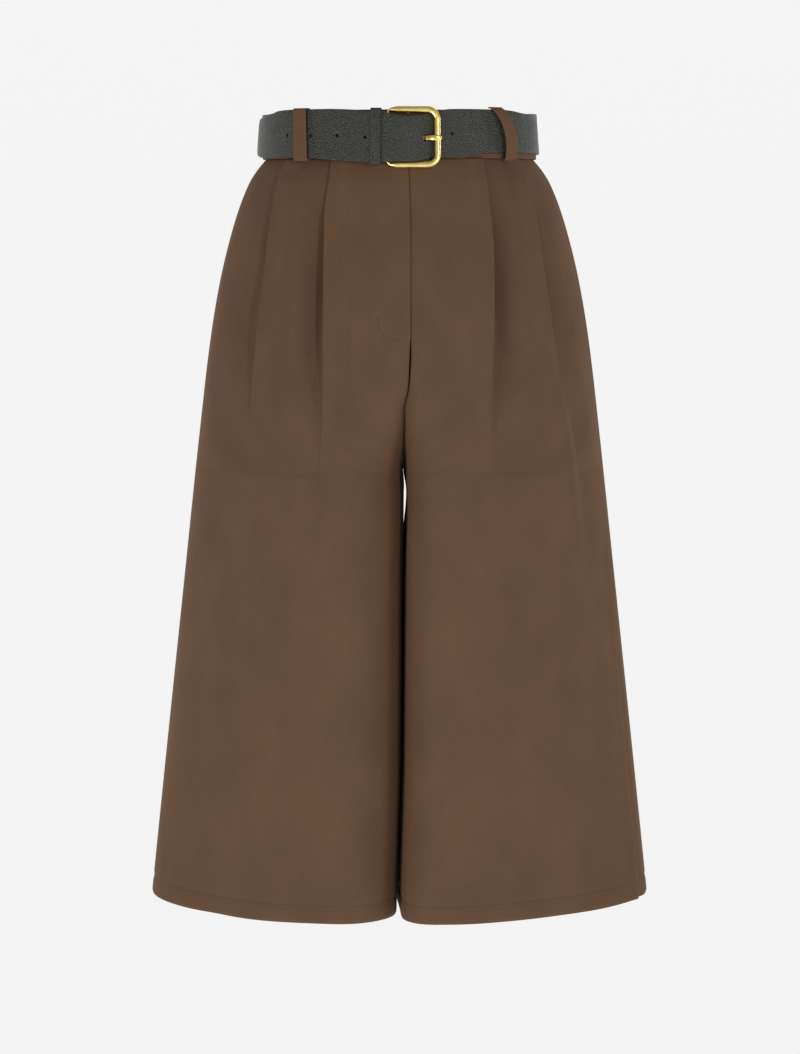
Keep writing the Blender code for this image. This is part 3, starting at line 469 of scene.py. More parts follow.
# Colours
CLOTH_LIGHT = (0.134, 0.074, 0.042)
CLOTH_DARK = (0.116, 0.064, 0.036)
CLOTH_FIBRE = (0.172, 0.101, 0.063)
CLOTH_SHEEN = (0.75, 0.60, 0.48, 1.0)
THREAD = (0.050, 0.028, 0.017)
# The leather's two colours are painted shade in the grain's creases and painted highlight on its raised
# tops
LEATHER_SHADED_CREASE = (0.021, 0.021, 0.016)
LEATHER_LIT_GRAIN = (0.039, 0.040, 0.032)
BRASS_DEEP = (0.92, 0.66, 0.17)
BRASS_BRIGHT = (1.0, 0.84, 0.36)
BACKDROP_SHADE = (0.10, 0.10, 0.10, 1.0)
WHITE = (1.0, 1.0, 1.0, 1.0)

# How fine each material's pattern is, as repeats to a metre, and how high its bumps are in metres
MOTTLE_SCALE = (24.0, 14.0, 1.0)
MOTTLE_BUMP = 0.0005
FIBRE_SCALE = (820.0, 150.0, 1.0)
FIBRE_BUMP = 0.00016
SPECK_SCALE = (1500.0, 900.0, 1.0)
RIB_SCALE = 360.0
RIB_BUMP = 0.00008
TWIST_SCALE = (2600.0, 2600.0, 2600.0)
TWIST_BUMP = 0.00008
GRAIN_SCALE = 800.0
GRAIN_BUMP = 0.0004
GRAIN_WANDER_SCALE = (260.0, 260.0, 260.0)
GRAIN_WANDER = (0.0007, 0.0007, 0.0007)
PORE_SCALE = (2400.0, 2400.0, 2400.0)
PORE_BUMP = 0.00005
WEAR_SCALE = (40.0, 40.0, 60.0)
WEAR_BUMP = 0.0006
BRUSHING_SCALE = (500.0, 500.0, 2600.0)
BRUSHING_BUMP = 0.00006
TARNISH_SCALE = (160.0, 160.0, 160.0)
WEAVE_SCALE = 420.0
WEAVE_BUMP = 0.0002

# The photographed view: where the camera stands, how far below it its middle looks, and its lens
CAMERA_PLACE = (0.00045, -3.0, -0.097)
CAMERA_DROP = 0.274
CAMERA_LENS = 114.32
CAMERA_SENSOR = 36.0

FLOOR_HEIGHT = -1.6
STAGE_FRONT = -6.0
STAGE_BACK = 3.2
STAGE_CURVE = 2.0
STAGE_HALF_WIDTH = 9.0
STAGE_TOP = 5.0
STAGE_STEPS = 24
BACKDROP_GLOW = 0.84

# Each soft light: where it stands, what it looks at, its size across and its power
LIGHT_ROWS = (
    ("left_key", (-1.9, -1.9, -1.2), (0.0, 0.0, -0.60), 1.5, 31.0),
    ("right_key", (2.3, -1.5, -0.7), (0.0, 0.0, -0.45), 0.9, 13.0),
    ("window", (1.15, -2.6, 0.25), (0.0, 0.0, -0.05), 0.25, 16.0),
    ("left_rim", (-2.3, 0.5, 0.3), (0.0, 0.0, -0.05), 0.5, 3.0),
    ("right_rim", (2.3, 0.5, 0.3), (0.0, 0.0, -0.05), 0.5, 4.0),
)
WORLD_STRENGTH = 0.30

# Each panel's name, side and face, and its cut in metres: width, length and area
PANEL_ROWS = (
    ("front_right", -1, -1, 0.36, 0.70, 0.207),
    ("front_left", 1, -1, 0.33, 0.70, 0.183),
    ("back_right", -1, 1, 0.36, 0.70, 0.200),
    ("back_left", 1, 1, 0.40, 0.70, 0.224),
)


# The form, from the tables


def column(columns, rows, name):
    """One named column of a table."""
    return np.array([row[columns.index(name)] for row in rows], float)


def smooth_through(x, y, wanted):
    """A smooth curve through rising x and their y that never overshoots them."""
    step = np.diff(x)
    slope = np.diff(y) / step
    before, after = slope[:-1], slope[1:]
    inner = np.where(before * after > 0, 2 * before * after / (before + after + 1e-12), 0.0)
    tangent = np.concatenate([slope[:1], inner, slope[-1:]])
    at = np.clip(wanted, x[0], x[-1])
    i = np.clip(np.searchsorted(x, at) - 1, 0, len(step) - 1)
    t = (at - x[i]) / step[i]
    return (
        (2 * t**3 - 3 * t**2 + 1) * y[i]
        + (t**3 - 2 * t**2 + t) * step[i] * tangent[i]
        + (3 * t**2 - 2 * t**3) * y[i + 1]
        + (t**3 - t**2) * step[i] * tangent[i + 1]
    )


def read_table(columns, rows, name, heights):
    """A named column at any height."""
    x = column(columns, rows, "height")[::-1]
    return smooth_through(x, column(columns, rows, name)[::-1], heights)


body_at = functools.partial(read_table, BODY_COLUMNS, BODY_ROWS)
centre_at = functools.partial(read_table, CENTRE_COLUMNS, CENTRE_ROWS)
face_at = functools.partial(read_table, FACE_COLUMNS, FACE_ROWS)
side_seam_at = functools.partial(read_table, SIDE_SEAM_COLUMNS, SIDE_SEAM_ROWS)
pleat_at = functools.partial(read_table, PLEAT_COLUMNS, PLEAT_ROWS)
fold_at = functools.partial(read_table, FOLD_COLUMNS, FOLD_ROWS)


def run_along(path):
    """The length along a path up to each of its points, which are its rows."""
    steps = np.linalg.norm(np.diff(path, axis=0), axis=1)
    return np.concatenate([[0.0], np.cumsum(steps)])


def smooth_rows(along, rows, count):
    """Evenly spaced rows, smoothly between rows that lie at these lengths along a path."""
    fine = np.linspace(0.0, along[-1], count)
    return np.stack([smooth_through(along, values, fine) for values in rows.T], axis=1)


def directions(path):
    """The direction of a flat path at each of its points."""
    run = np.gradient(path, axis=0)
    return run / np.linalg.norm(run, axis=1)[:, None]


def ease(value):
    """0 before 0, 1 after 1 and a soft step between."""
    t = np.clip(value, 0.0, 1.0)
    return t * t * (3 - 2 * t)


def crotch_depth(heights, hip_depth):
    """How far in front of the middle, or behind it, the centre seam lies: none below the crotch."""
    way_down = np.clip((CROTCH_TOP - heights) / (CROTCH_TOP - CROTCH_BOTTOM), 0.0, 1.0)
    return hip_depth * (1 - way_down**CROTCH_SQUARENESS) ** (1 / CROTCH_SQUARENESS)


def centre_x(heights, y):
    """The line between the two sides, which turns as it goes from the front to the back."""
    turned = ease((y - TURN_START) / TURN_RUN)
    return centre_at("front_x", heights) + centre_at("turn", heights) * turned


def quarter_ring(side, face, heights):
    """One quarter of the outline at each height, from the centre seam or inseam out to the side."""
    heights = heights[:, None]
    name = "front" if face < 0 else "back"
    half_width = body_at("half_width", heights)
    depth = body_at(name + "_depth", heights)
    square = body_at("squareness", heights)
    corners = {row[0]: dict(zip(CORNER_COLUMNS, row)) for row in CORNER_ROWS}[side]
    corner_across = corners[name + "_across"]
    corner_deep = corners[name + "_deep"]

    # The centre seam or inner wall starts here, and the corner grows as far as there is room for it
    start = crotch_depth(heights, depth)
    room = (depth - start) / corner_deep
    grown = ease((CROTCH_TOP - heights) / (CROTCH_TOP - CROTCH_BOTTOM))
    both = (room**CORNER_SHARPNESS + grown**CORNER_SHARPNESS) ** (1 / CORNER_SHARPNESS)
    deep = corner_deep * room * grown / np.maximum(both, 1e-9)
    across = corner_across * ease((CORNER_TOP - heights) / CORNER_RUN)
    wall = np.linspace(0.0, 1.0, WALL_STEPS + 1)[:-1]
    turn = np.linspace(0.0, math.pi / 2, WALL_STEPS + 1)[:-1]
    sweep = np.linspace(0.0, math.pi / 2, SWEEP_STEPS + 1)

    # Points along the wall, then round the corner, then out along the face to the side
    wall_y = start + (depth - deep - start) * wall
    turn_y = depth - deep + deep * np.sin(turn)
    inner_y = np.concatenate([wall_y, turn_y], axis=1)
    inner_x = np.concatenate([0 * wall_y, across * (1 - np.cos(turn))], axis=1)
    below = ease((CROTCH_BOTTOM - heights) / LEG_OPENING)
    clear = np.maximum(ease((inner_y - start) / SEAM_OPENING), below)
    clear = LEG_GAP / 2 * clear
    # The wall follows the line between the legs, and the corner turns it over to the face's middle
    face_x = face_at(name + "_x", heights)
    shift = face_x - centre_x(heights, face * depth)
    inner_x = inner_x + clear + side * centre_x(heights, face * inner_y)
    inner_x[:, WALL_STEPS:] += side * shift * (1 - np.cos(turn))

    outer_from = across + clear[:, -1:] + side * face_x
    outer_x = outer_from + (half_width - outer_from) * np.sin(sweep) ** (2 / square)
    outer_y = depth * np.cos(sweep) ** (2 / square)
    x = np.concatenate([inner_x, outer_x], axis=1)
    y = np.concatenate([inner_y, outer_y], axis=1)
    return x, face * y


@functools.lru_cache(maxsize=None)
def half_ring_at(side, heights):
    """The whole outline of one side at each height, from the front's middle round to the back's."""
    heights = np.array(heights)
    front_x, front_y = quarter_ring(side, -1, heights)
    back_x, back_y = quarter_ring(side, 1, heights)
    x = np.concatenate([front_x, back_x[:, -2::-1]], axis=1)
    y = np.concatenate([front_y, back_y[:, -2::-1]], axis=1)
    steps = np.hypot(np.diff(x, axis=1), np.diff(y, axis=1))
    length = np.concatenate([np.zeros((len(x), 1)), np.cumsum(steps, axis=1)], axis=1)
    return x, y, length


def half_ring(side, heights):
    """The same for an array of heights."""
    return half_ring_at(side, tuple(heights))


def lookup(keys, values, wanted):
    """Each row's value where its rising keys reach the wanted one."""
    i = np.clip((keys < wanted[:, None]).sum(axis=1), 1, keys.shape[1] - 1)
    rows = np.arange(len(keys))
    low, high = keys[rows, i - 1], keys[rows, i]
    t = np.clip((wanted - low) / np.maximum(high - low, 1e-9), 0.0, 1.0)
    return values[rows, i - 1] * (1 - t) + values[rows, i] * t


def seam_length(side, heights):
    """How far round the half ring the side seam lies."""
    x, y, length = half_ring(side, heights)
    seam_y = side_seam_at("left_y" if side > 0 else "right_y", heights)
    middle = x.shape[1] // 2
    outer = slice(middle - SWEEP_STEPS + 1, middle + SWEEP_STEPS - 1)
    return lookup(y[:, outer], length[:, outer], seam_y)


def fold_lift(rows, side, face, heights, x):
    """How far the folds in a table push the cloth out at each point."""
    lift = np.zeros_like(heights)
    for row in rows:
        fold = dict(zip(DRAPE_COLUMNS, row))
        if fold["side"] != side or fold["face"] != face:
            continue
        along = (fold["top"] - heights) / (fold["top"] - fold["bottom"])
        middle = fold["top_x"] + (fold["bottom_x"] - fold["top_x"]) * along
        swell = ease(along / DRAPE_FADE)
        if fold["bottom"] > HEM_HEIGHT:
            swell = swell * ease((1 - along) / DRAPE_FADE)
        away = (x - middle) / fold["width"]
        lift = lift + fold["lift"] * swell * np.exp(-away * away)
    return lift


def point_on_ring(side, face, heights, length_along, out):
    """Points at these lengths from the centre seam, moved out from the cloth."""
    x, y, length = half_ring(side, heights)
    if face > 0:
        length_along = length[:, -1] - length_along
    centre = lookup(length, x, length_along), lookup(length, y, length_along)
    ahead = lookup(length, x, length_along + 1.0), lookup(length, y, length_along + 1.0)
    behind = lookup(length, x, length_along - 1.0), lookup(length, y, length_along - 1.0)
    tangent = np.array([ahead[0] - behind[0], ahead[1] - behind[1]])
    tangent = tangent / np.maximum(np.hypot(*tangent), 1e-9)
    across = side * centre[0]
    out = out + fold_lift(DRAPE_ROWS, side, face, heights, across)
    out = out + fold_lift(CREASE_ROWS, side, face, heights, across)
    return side * (centre[0] + out * tangent[1]), centre[1] - out * tangent[0]


def row_heights():
    """The heights of the grid's rows along the centre seam and along the side seam."""
    hip = np.linspace(0.0, 1.0, HIP_ROWS + 1) ** INNER_CROWDING
    waist = -WAISTBAND_HEIGHT - WAIST_SEAM
    inner = list(waist + (CROTCH_TOP - waist) * hip)
    angles = np.linspace(0.0, math.pi / 2, CROTCH_ROWS - HIP_ROWS + 1)[1:]
    curve = np.sin(angles) ** (2 / CROTCH_SQUARENESS)
    inner += list(CROTCH_TOP + (CROTCH_BOTTOM - CROTCH_TOP) * curve)
    above_hem = HEM_HEIGHT + HEM_DEPTH
    inner += list(np.linspace(CROTCH_BOTTOM, above_hem, LEG_ROWS - CROTCH_ROWS)[1:])
    way_down = np.linspace(0.0, 1.0, LEG_ROWS) ** OUTER_CROWDING
    outer = list(waist + (above_hem - waist) * way_down)
    hem = list(above_hem - HEM_DEPTH * ease_out(np.linspace(0.0, 1.0, HEM_ROWS + 1)[1:]))
    return np.array(inner + hem), np.array(outer + hem)


def ease_out(value):
    """Fast at first, slow towards 1."""
    return 1 - (1 - value) ** 2


@functools.lru_cache(maxsize=None)
def section_column(name):
    """One column of the pleat's section, with smooth points between its rows."""
    rows = np.arange(len(SECTION_ROWS), dtype=float)
    fine = np.linspace(0.0, rows[-1], SECTION_STEPS * (len(rows) - 1) + 1)
    return smooth_through(rows, column(SECTION_COLUMNS, SECTION_ROWS, name), fine)


def pleat_section(heights, index, valley_share):
    """Where one column of a pleat lies, across from the folded edge and out from the cloth."""
    section = {name: section_column(name)[index] for name in SECTION_COLUMNS}
    folded = fold_at("folded", heights)
    valley = valley_share * fold_at("valley", heights)
    open_out = section["open_ridge"] * fold_at("ridge", heights) + section["open_valley"] * valley
    across = folded * section["folded_across"] + (1 - folded) * section["open_across"]
    out = folded * section["folded_out"] + (1 - folded) * open_out
    return across * fold_at("spread", heights), out


def corner_length(side, face, heights):
    """The length from the panel's inner edge to where its front or back face begins."""
    length = half_ring(side, heights)[2]
    if face < 0:
        return length[:, CORNER_END]
    return length[:, -1] - length[:, -1 - CORNER_END]


def inner_lengths(side, face, heights, seam_heights, shares, stops):
    """Lengths spread from the centre seam, at its own heights, to the stops at these heights."""
    corner = corner_length(side, face, heights)
    start = -corner_length(side, face, seam_heights)
    strip = [start + beside for beside in SEAM_COLUMNS]
    spread = [strip[-1] + (stops - corner - strip[-1]) * share for share in shares]
    return [corner + place for place in [*strip, *spread]]


def front_lengths(side, heights, seam_heights):
    """Each front column's length round the ring, and how far its pleat lifts it.

    The columns are spread before, between and after the two pleats, which have columns of their own.
    """
    x, _, length = half_ring(side, heights)
    end = seam_length(side, heights)
    quarter = slice(0, x.shape[1] // 2)
    edges = []
    for name in ("inner", "outer"):
        edge_x = side * pleat_at(("left_" if side > 0 else "right_") + name, heights)
        edges.append(lookup(x[:, quarter], length[:, quarter], edge_x))
    sections = len(section_column(SECTION_COLUMNS[0]))
    before, between, after = FRONT_COLUMNS
    first = [edge + pleat_section(heights, 0, 1.0)[0] for edge in edges]
    last = [edge + pleat_section(heights, sections - 1, 1.0)[0] for edge in edges]
    flat = 0 * heights
    shares = [k / before for k in range(1, before)]
    grid = inner_lengths(side, -1, heights, seam_heights, shares, first[0])
    lifts = [flat] * len(grid)
    strip = [end - beside for beside in SEAM_COLUMNS[::-1]]
    for number, edge in enumerate(edges):
        for k in range(sections):
            across, out = pleat_section(heights, k, VALLEY_SHARES[side][number])
            grid.append(edge + across)
            lifts.append(out)
        stop, count = (first[1], between) if number == 0 else (strip[0], after)
        grid += [last[number] + (stop - last[number]) * k / count for k in range(1, count)]
        lifts += [flat] * (count - 1)
    grid += strip
    lifts += [flat] * len(strip)
    return np.array(grid), np.array(lifts)


def back_lengths(side, heights, seam_heights):
    """Each back column's length from the centre back, evenly spaced to the side seam."""
    length = half_ring(side, heights)[2]
    end = length[:, -1] - seam_length(side, heights)
    strip = [end - beside for beside in SEAM_COLUMNS[::-1]]
    shares = [k / BACK_COLUMNS for k in range(1, BACK_COLUMNS)]
    grid = inner_lengths(side, 1, heights, seam_heights, shares, strip[0])
    grid += strip
    return np.array(grid), np.zeros((len(grid), len(heights)))


def lap_lift(side, heights, lengths):
    """The fly's top side stands a little proud of the side that it laps over."""
    down = ease((heights - FLY_END) / FLY_FADE)
    across = ease((FLY_WIDTH + FLY_FADE - lengths) / FLY_FADE)
    return -side * FLY_LAP * down * across


def fly_path():
    """The fly's topstitching as smooth points, across and height."""
    path = np.array(FLY_STITCH_ROWS)
    return smooth_rows(run_along(path), path, FLY_POINTS)


def fly_lift(x, heights):
    """The groove along the fly's stitching, and the hollow above its lower end."""
    across, height = fly_path().T
    away = np.hypot(x[:, None] - across, heights[:, None] - height).min(axis=1)
    groove = FLY_GROOVE * np.exp(-((away / FLY_GROOVE_WIDTH) ** 2))
    from_x = (x - FLY_HOLLOW_PLACE[0]) / FLY_HOLLOW_WIDTH
    from_z = (heights - FLY_HOLLOW_PLACE[1]) / FLY_HOLLOW_HEIGHT
    return -groove - FLY_HOLLOW * np.exp(-(from_x**2) - from_z**2)


def seam_lift(side, face, heights, from_centre, from_side):
    """The cloth rolls in at its seams, and one side seam's front stands proud of the back."""
    roll = -ROLL_DEPTH * np.exp(-((from_side / ROLL_WIDTH) ** 2))
    under_fly = 1 - ease((heights - FLY_END) / FLY_FADE) * (face < 0)
    roll = roll - ROLL_DEPTH * under_fly * np.exp(-((from_centre / ROLL_WIDTH) ** 2))
    if side < 0:
        return roll
    proud = PROUD_FRONT if face < 0 else PROUD_BACK
    fades = ease((PROUD_TOP - heights) / PROUD_RUN) * ease(1 - from_side / PROUD_WIDTH)
    return roll + proud * fades


def hem_lift(heights):
    """The hem's stitching pulls a groove into the cloth, and its edge is rounded."""
    from_stitch = (heights - HEM_HEIGHT - HEM_DEPTH) / STITCH_GROOVE_WIDTH
    from_edge = (heights - HEM_HEIGHT) / STITCH_GROOVE_WIDTH
    return -STITCH_GROOVE * np.exp(-(from_stitch**2)) - ROLL_DEPTH * np.exp(-(from_edge**2))


@functools.lru_cache(maxsize=None)
def column_lengths(side, face, heights, seam_heights):
    """Each column's length round the ring and its lift, at each height."""
    lengths = back_lengths if face > 0 else front_lengths
    return lengths(side, np.array(heights), np.array(seam_heights))


def hem_dip(x, heights):
    """How much lower a point hangs than at the sides, more and more towards the hem."""
    grown = ease((CROTCH_BOTTOM - heights) / (CROTCH_BOTTOM - HEM_HEIGHT))
    return HEM_DIP * grown * np.maximum(1 - (x / body_at("half_width", heights)) ** 2, 0.0)


def panel_column(side, face, heights, number, columns):
    """One numbered column of a panel's points, and its lengths round the ring."""
    lengths, lifts = columns
    length = lengths[number]
    lift = lifts[number] + hem_lift(heights)
    lift = lift + seam_lift(side, face, heights, length - lengths[0], lengths[-1] - length)
    if face < 0:
        lift = lift + lap_lift(side, heights, length)
    x, y = point_on_ring(side, face, heights, length, lift)
    if face < 0 and side < 0:
        x, y = point_on_ring(side, face, heights, length, lift + fly_lift(x, heights))
    return np.stack([x, y, heights - hem_dip(x, heights)], axis=1), length


def panel_grid(side, face):
    """The outer surface of one trouser panel: its points, and each point's length round the ring."""
    inner, outer = row_heights()
    count = len(column_lengths(side, face, tuple(inner), tuple(inner))[0])
    points = np.zeros((len(inner), count, 3))
    around = np.zeros((len(inner), count))
    for c in range(count):
        across = min(max(c - 1, 0) / (count - 3) / BEND_SHARE, 1.0)
        heights = inner + (outer - inner) * ease_out(across)
        columns = column_lengths(side, face, tuple(heights), tuple(inner))
        points[:, c], around[:, c] = panel_column(side, face, heights, c, columns)
    return points, around


# Meshes


def mesh_from(name, points, faces, uvs=None):
    """A smooth-shaded mesh in metres, from points in millimetres, with a map in metres of cloth."""
    mesh = bpy.data.meshes.new(name)
    mesh.from_pydata([tuple(point) for point in np.asarray(points) * MM], [], faces)
    mesh.shade_smooth()
    if uvs is not None:
        layer = mesh.uv_layers.new(name="cloth")
        corners = np.zeros(len(mesh.loops), int)
        mesh.loops.foreach_get("vertex_index", corners)
        layer.data.foreach_set("uv", (np.asarray(uvs) * MM)[corners].ravel())
    return mesh


def grid_faces(rows, columns, flip):
    """Quads over a grid of points."""
    faces = []
    for r in range(rows - 1):
        for c in range(columns - 1):
            a = r * columns + c
            quad = (a, a + 1, a + columns + 1, a + columns)
            faces.append(quad[::-1] if flip else quad)
    return faces


def tube_faces(first, rings, sides, closed=False):
    """The faces of a tube through rings of points, numbered from first, capped unless it closes."""
    faces = []
    for r in range(rings if closed else rings - 1):
        here, there = first + r * sides, first + (r + 1) % rings * sides
        for k in range(sides):
            after = (k + 1) % sides
            faces.append((here + k, here + after, there + after, there + k))
    if not closed:
        last = first + (rings - 1) * sides
        faces.append(tuple(range(first, first + sides))[::-1])
        faces.append(tuple(range(last, last + sides)))
    return faces


def add_object(name, data):
    """An object in the scene that shows this data."""
    obj = bpy.data.objects.new(name, data)
    bpy.context.scene.collection.objects.link(obj)
    return obj


def made_mesh(obj):
    """A mesh as the object's modifiers or its curve make it."""
    graph = bpy.context.evaluated_depsgraph_get()
    return bpy.data.meshes.new_from_object(obj.evaluated_get(graph))


def place(name, mesh, material, slot, *nodes):
    """A piece of the object, riding on its only body and standing for the CAD nodes named."""
    obj = add_object(name, mesh)
    obj.data.materials.append(material)
    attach(obj, "root")
    if nodes:
        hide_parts(*nodes)
    return obj


def build_panel(name, side, face, material):
    """One cloth panel with its thickness, doubled in the turned-up hem."""
    points, around = panel_grid(side, face)
    rows, count = points.shape[:2]
    uvs = np.stack([around, points[:, :, 2]], axis=2).reshape(-1, 2)
    faces = grid_faces(rows, count, side * face < 0)
    mesh = mesh_from(name, points.reshape(-1, 3), faces, uvs)
    obj = place(name + "_cloth", mesh, material, "cloth", name)
    group = obj.vertex_groups.new(name="wall")
    hem_start = (rows - HEM_ROWS - 1) * count
    group.add(list(range(hem_start)), CLOTH_WALL / HEM_WALL, "REPLACE")
    group.add(list(range(hem_start, rows * count)), 1.0, "REPLACE")
    wall = obj.modifiers.new("Wall", "SOLIDIFY")
    wall.thickness = HEM_WALL * MM
    wall.offset = -1.0
    wall.vertex_group = group.name
    return obj, points


def loft(name, sections, closed=False):
    """A closed skin through sections of equal point count, capped at its ends unless it is a ring."""
    sections = np.asarray(sections, float)
    faces = tube_faces(0, *sections.shape[:2], closed)
    mesh = mesh_from(name, sections.reshape(-1, 3), faces)
    body = bmesh.new()
    body.from_mesh(mesh)
    bmesh.ops.recalc_face_normals(body, faces=body.faces)
    body.to_mesh(mesh)
    body.free()
    mesh.shade_smooth()
    mesh.set_sharp_from_angle(angle=SHARP_ANGLE)
    return mesh


@functools.lru_cache(maxsize=None)
def band_outline():
    """The waistband's outer surface from the middle of the front, towards the wearer's right."""
    angle = np.linspace(0.0, 2 * math.pi, OUTLINE_STEPS + 1)
    depth = np.where(np.cos(angle) > 0, BAND_FRONT, BAND_BACK)
    x = -BAND_HALF_WIDTH * np.sin(angle)
    y = -depth * np.cos(angle)
    return x, y, run_along(np.stack([x, y], axis=1))


def outline_point(way_round):
    """A point of the waistband's outline, at a length round it from the middle of the front."""
    x, y, length = band_outline()
    at = way_round % length[-1]
    return np.array([np.interp(at, length, x), np.interp(at, length, y)])


def on_band(way_round, out, height):
    """A point out from the waistband's surface, at a length round it from the middle of the front."""
    out = out + BAND_FLARE * -height / WAISTBAND_HEIGHT
    point = outline_point(way_round)
    run = outline_point(way_round + OUTLINE_REACH) - outline_point(way_round - OUTLINE_REACH)
    run = run / np.hypot(*run)
    return np.array([point[0] - out * run[1], point[1] + out * run[0], height])


def rounded_section(thick, tall, edge, steps=CORNER_STEPS, flat_steps=1):
    """A rounded strip's section as (out, rise) pairs about its middle, edges rounded by edge."""
    pairs = []
    straight = np.linspace(tall / 2 - edge, edge - tall / 2, flat_steps + 1)[1:-1]
    for corner_out, corner_rise, first in ((1, 1, 0), (-1, 1, 90), (-1, -1, 180), (1, -1, 270)):
        for k in range(steps + 1):
            angle = math.radians(first + 90 * k / steps)
            out = corner_out * (thick / 2 - edge) + edge * math.cos(angle)
            rise = corner_rise * (tall / 2 - edge) + edge * math.sin(angle)
            pairs.append((out, rise))
        if corner_out == -corner_rise:
            pairs += [(corner_out * thick / 2, corner_rise * rise) for rise in straight]
    return pairs


def build_waistband(material):
    """A straight band that opens over the fly."""
    perimeter = band_outline()[2][-1]
    opening = -column(CENTRE_COLUMNS, CENTRE_ROWS, "front_x")[0]
    first, last = opening + LOOP_GAP / 2, opening + perimeter - LOOP_GAP / 2
    top_rows = np.array(BAND_TOP_ROWS).T
    sections = []
    for way_round in np.linspace(first, last, BAND_STEPS + 1):
        from_front = (way_round + perimeter / 2) % perimeter - perimeter / 2
        top = smooth_through(*top_rows, from_front)
        tall = top + WAISTBAND_HEIGHT
        sections.append([
            on_band(way_round, -BAND_WALL / 2 + out, (top - WAISTBAND_HEIGHT) / 2 + rise)
            for out, rise in rounded_section(
                BAND_WALL, tall, BAND_ROUNDING, flat_steps=BAND_FLAT_STEPS
            )
        ])
    return place("waistband_cloth", loft("waistband", sections), material, "cloth", "waistband")


def loop_path(foot, head, clear, slack):
    """A loop from the band, over the belt and back: the share of its lean, the way out, the height.

    It bends round the belt's edges within a wall's thickness, and hangs out by its slack between them.
    """
    out_most = clear + LOOP_WALL
    path = np.array((
        (0.0, LOOP_GAP, LOOP_ROOT),
        (0.0, clear - 1.6, 0.3 * LOOP_ROOT + 0.7 * (foot - LOOP_WALL)),
        (0.0, clear - 0.2, foot - LOOP_WALL),
        (0.0, clear + 0.7 * LOOP_WALL, foot - 0.3 * LOOP_WALL),
        (0.05, out_most + 0.3 * slack, foot + 2.0),
        (0.35, out_most + 0.9 * slack, foot + 0.35 * (head - foot)),
        (0.70, out_most + slack, foot + 0.70 * (head - foot)),
        (0.95, out_most + 0.4 * slack, head - 1.6),
        (1.0, clear + 0.7 * LOOP_WALL, head + 0.3 * LOOP_WALL),
        (1.0, clear - 0.6, head + LOOP_WALL),
        (1.0, LOOP_GAP, head + LOOP_WALL),
    ))
    return smooth_rows(run_along(path[:, 1:]), path, LOOP_POINTS)


def build_loop(number, row, material):
    """A cloth loop that holds the belt, stretched or slack as it hangs."""
    loop = dict(zip(LOOP_COLUMNS, row))
    path = loop_path(loop["foot"], loop["head"], loop["clear"], loop["slack"])
    section = rounded_section(LOOP_WALL, loop["width"], LOOP_ROUNDING, THIN_CORNER_STEPS)
    sections = []
    for (share, out, height), (run_out, run_up) in zip(path, directions(path[:, 1:])):
        sideways = share ** loop["lean"] * (loop["head_round"] - loop["foot_round"])
        middle = loop["foot_round"] + sideways
        sections.append([
            on_band(
                middle + beside,
                out + (inward - LOOP_WALL / 2) * run_up,
                height - (inward - LOOP_WALL / 2) * run_out,
            )
            for inward, beside in section
        ])
    mesh = loft(f"belt_loop_{number}", sections)
    return place(f"belt_loop_{number}_cloth", mesh, material, "cloth", f"belt_loop_{number}")


def belt_path():
    """The belt's rows at short steps: way round, out, thickness, top and bottom."""
    perimeter = band_outline()[2][-1]
    rows = np.array([(way_round + lap * perimeter, *rest) for lap, way_round, *rest in BELT_ROWS])
    along = run_along(rows[:, :2])
    return smooth_rows(along, rows, int(along[-1] / BELT_STEP))


def build_belt_strap(material):
    """The leather strap, with its holes and the slots that the prong goes through."""
    rows = belt_path()
    middles = np.array([on_band(row[0], row[1], 0.0)[:2] for row in rows])
    sections = []
    for (way_round, out, thickness, top, bottom), (run_x, run_y) in zip(rows, directions(middles)):
        outward = np.array([-run_y, run_x, 0.0])
        rounding = BELT_EDGE * thickness / 2
        sections.append([
            on_band(way_round, out, (top + bottom) / 2 + rise) + outward * beside
            for beside, rise in rounded_section(
                thickness, top - bottom, rounding, flat_steps=BELT_FLAT_STEPS
            )
        ])
    mesh = loft("belt_strap", sections)
    strap = place("belt_strap_leather", mesh, material, "leather", "belt_strap")
    cut(strap, punches_mesh())


def punches_mesh():
    """What is cut out of the strap: round holes, and a slot in each layer for the prong."""
    punches = bmesh.new()
    for way_round, height, near, far in BELT_HOLES:
        circle = [
            (way_round + BELT_HOLE_RADIUS * math.cos(angle), height + BELT_HOLE_RADIUS * math.sin(angle))
            for angle in np.linspace(0.0, 2 * math.pi, HOLE_SIDES + 1)[:-1]
        ]
        punches.from_mesh(punch(circle, near, far))
    low, high = PRONG_HEIGHT - SLOT_HALF_HEIGHT, PRONG_HEIGHT + SLOT_HALF_HEIGHT
    for start, end, near, far in (TIP_SLOT, HINGE_SLOT):
        slot = [(start, low), (end, low), (end, high), (start, high)]
        punches.from_mesh(punch(slot, near, far))
    mesh = bpy.data.meshes.new("punches")
    punches.to_mesh(mesh)
    punches.free()
    return mesh


def punch(outline, near, far):
    """A bar that cuts outwards through the strap; the outline is way round and height."""
    return loft("punch", [
        [on_band(way_round, out, height) for way_round, height in outline]
        for out in (near, far)
    ])


def cut(obj, mesh):
    """Takes a cutter's shape away from the object, and leaves no cutter behind."""
    cutter = add_object(mesh.name, mesh)
    boolean = obj.modifiers.new("Cut", "BOOLEAN")
    boolean.operation = "DIFFERENCE"
    boolean.solver = "EXACT"
    boolean.object = cutter
    cut_mesh = made_mesh(obj)
    obj.modifiers.clear()
    obj.data = cut_mesh
    bpy.data.objects.remove(cutter, do_unlink=True)


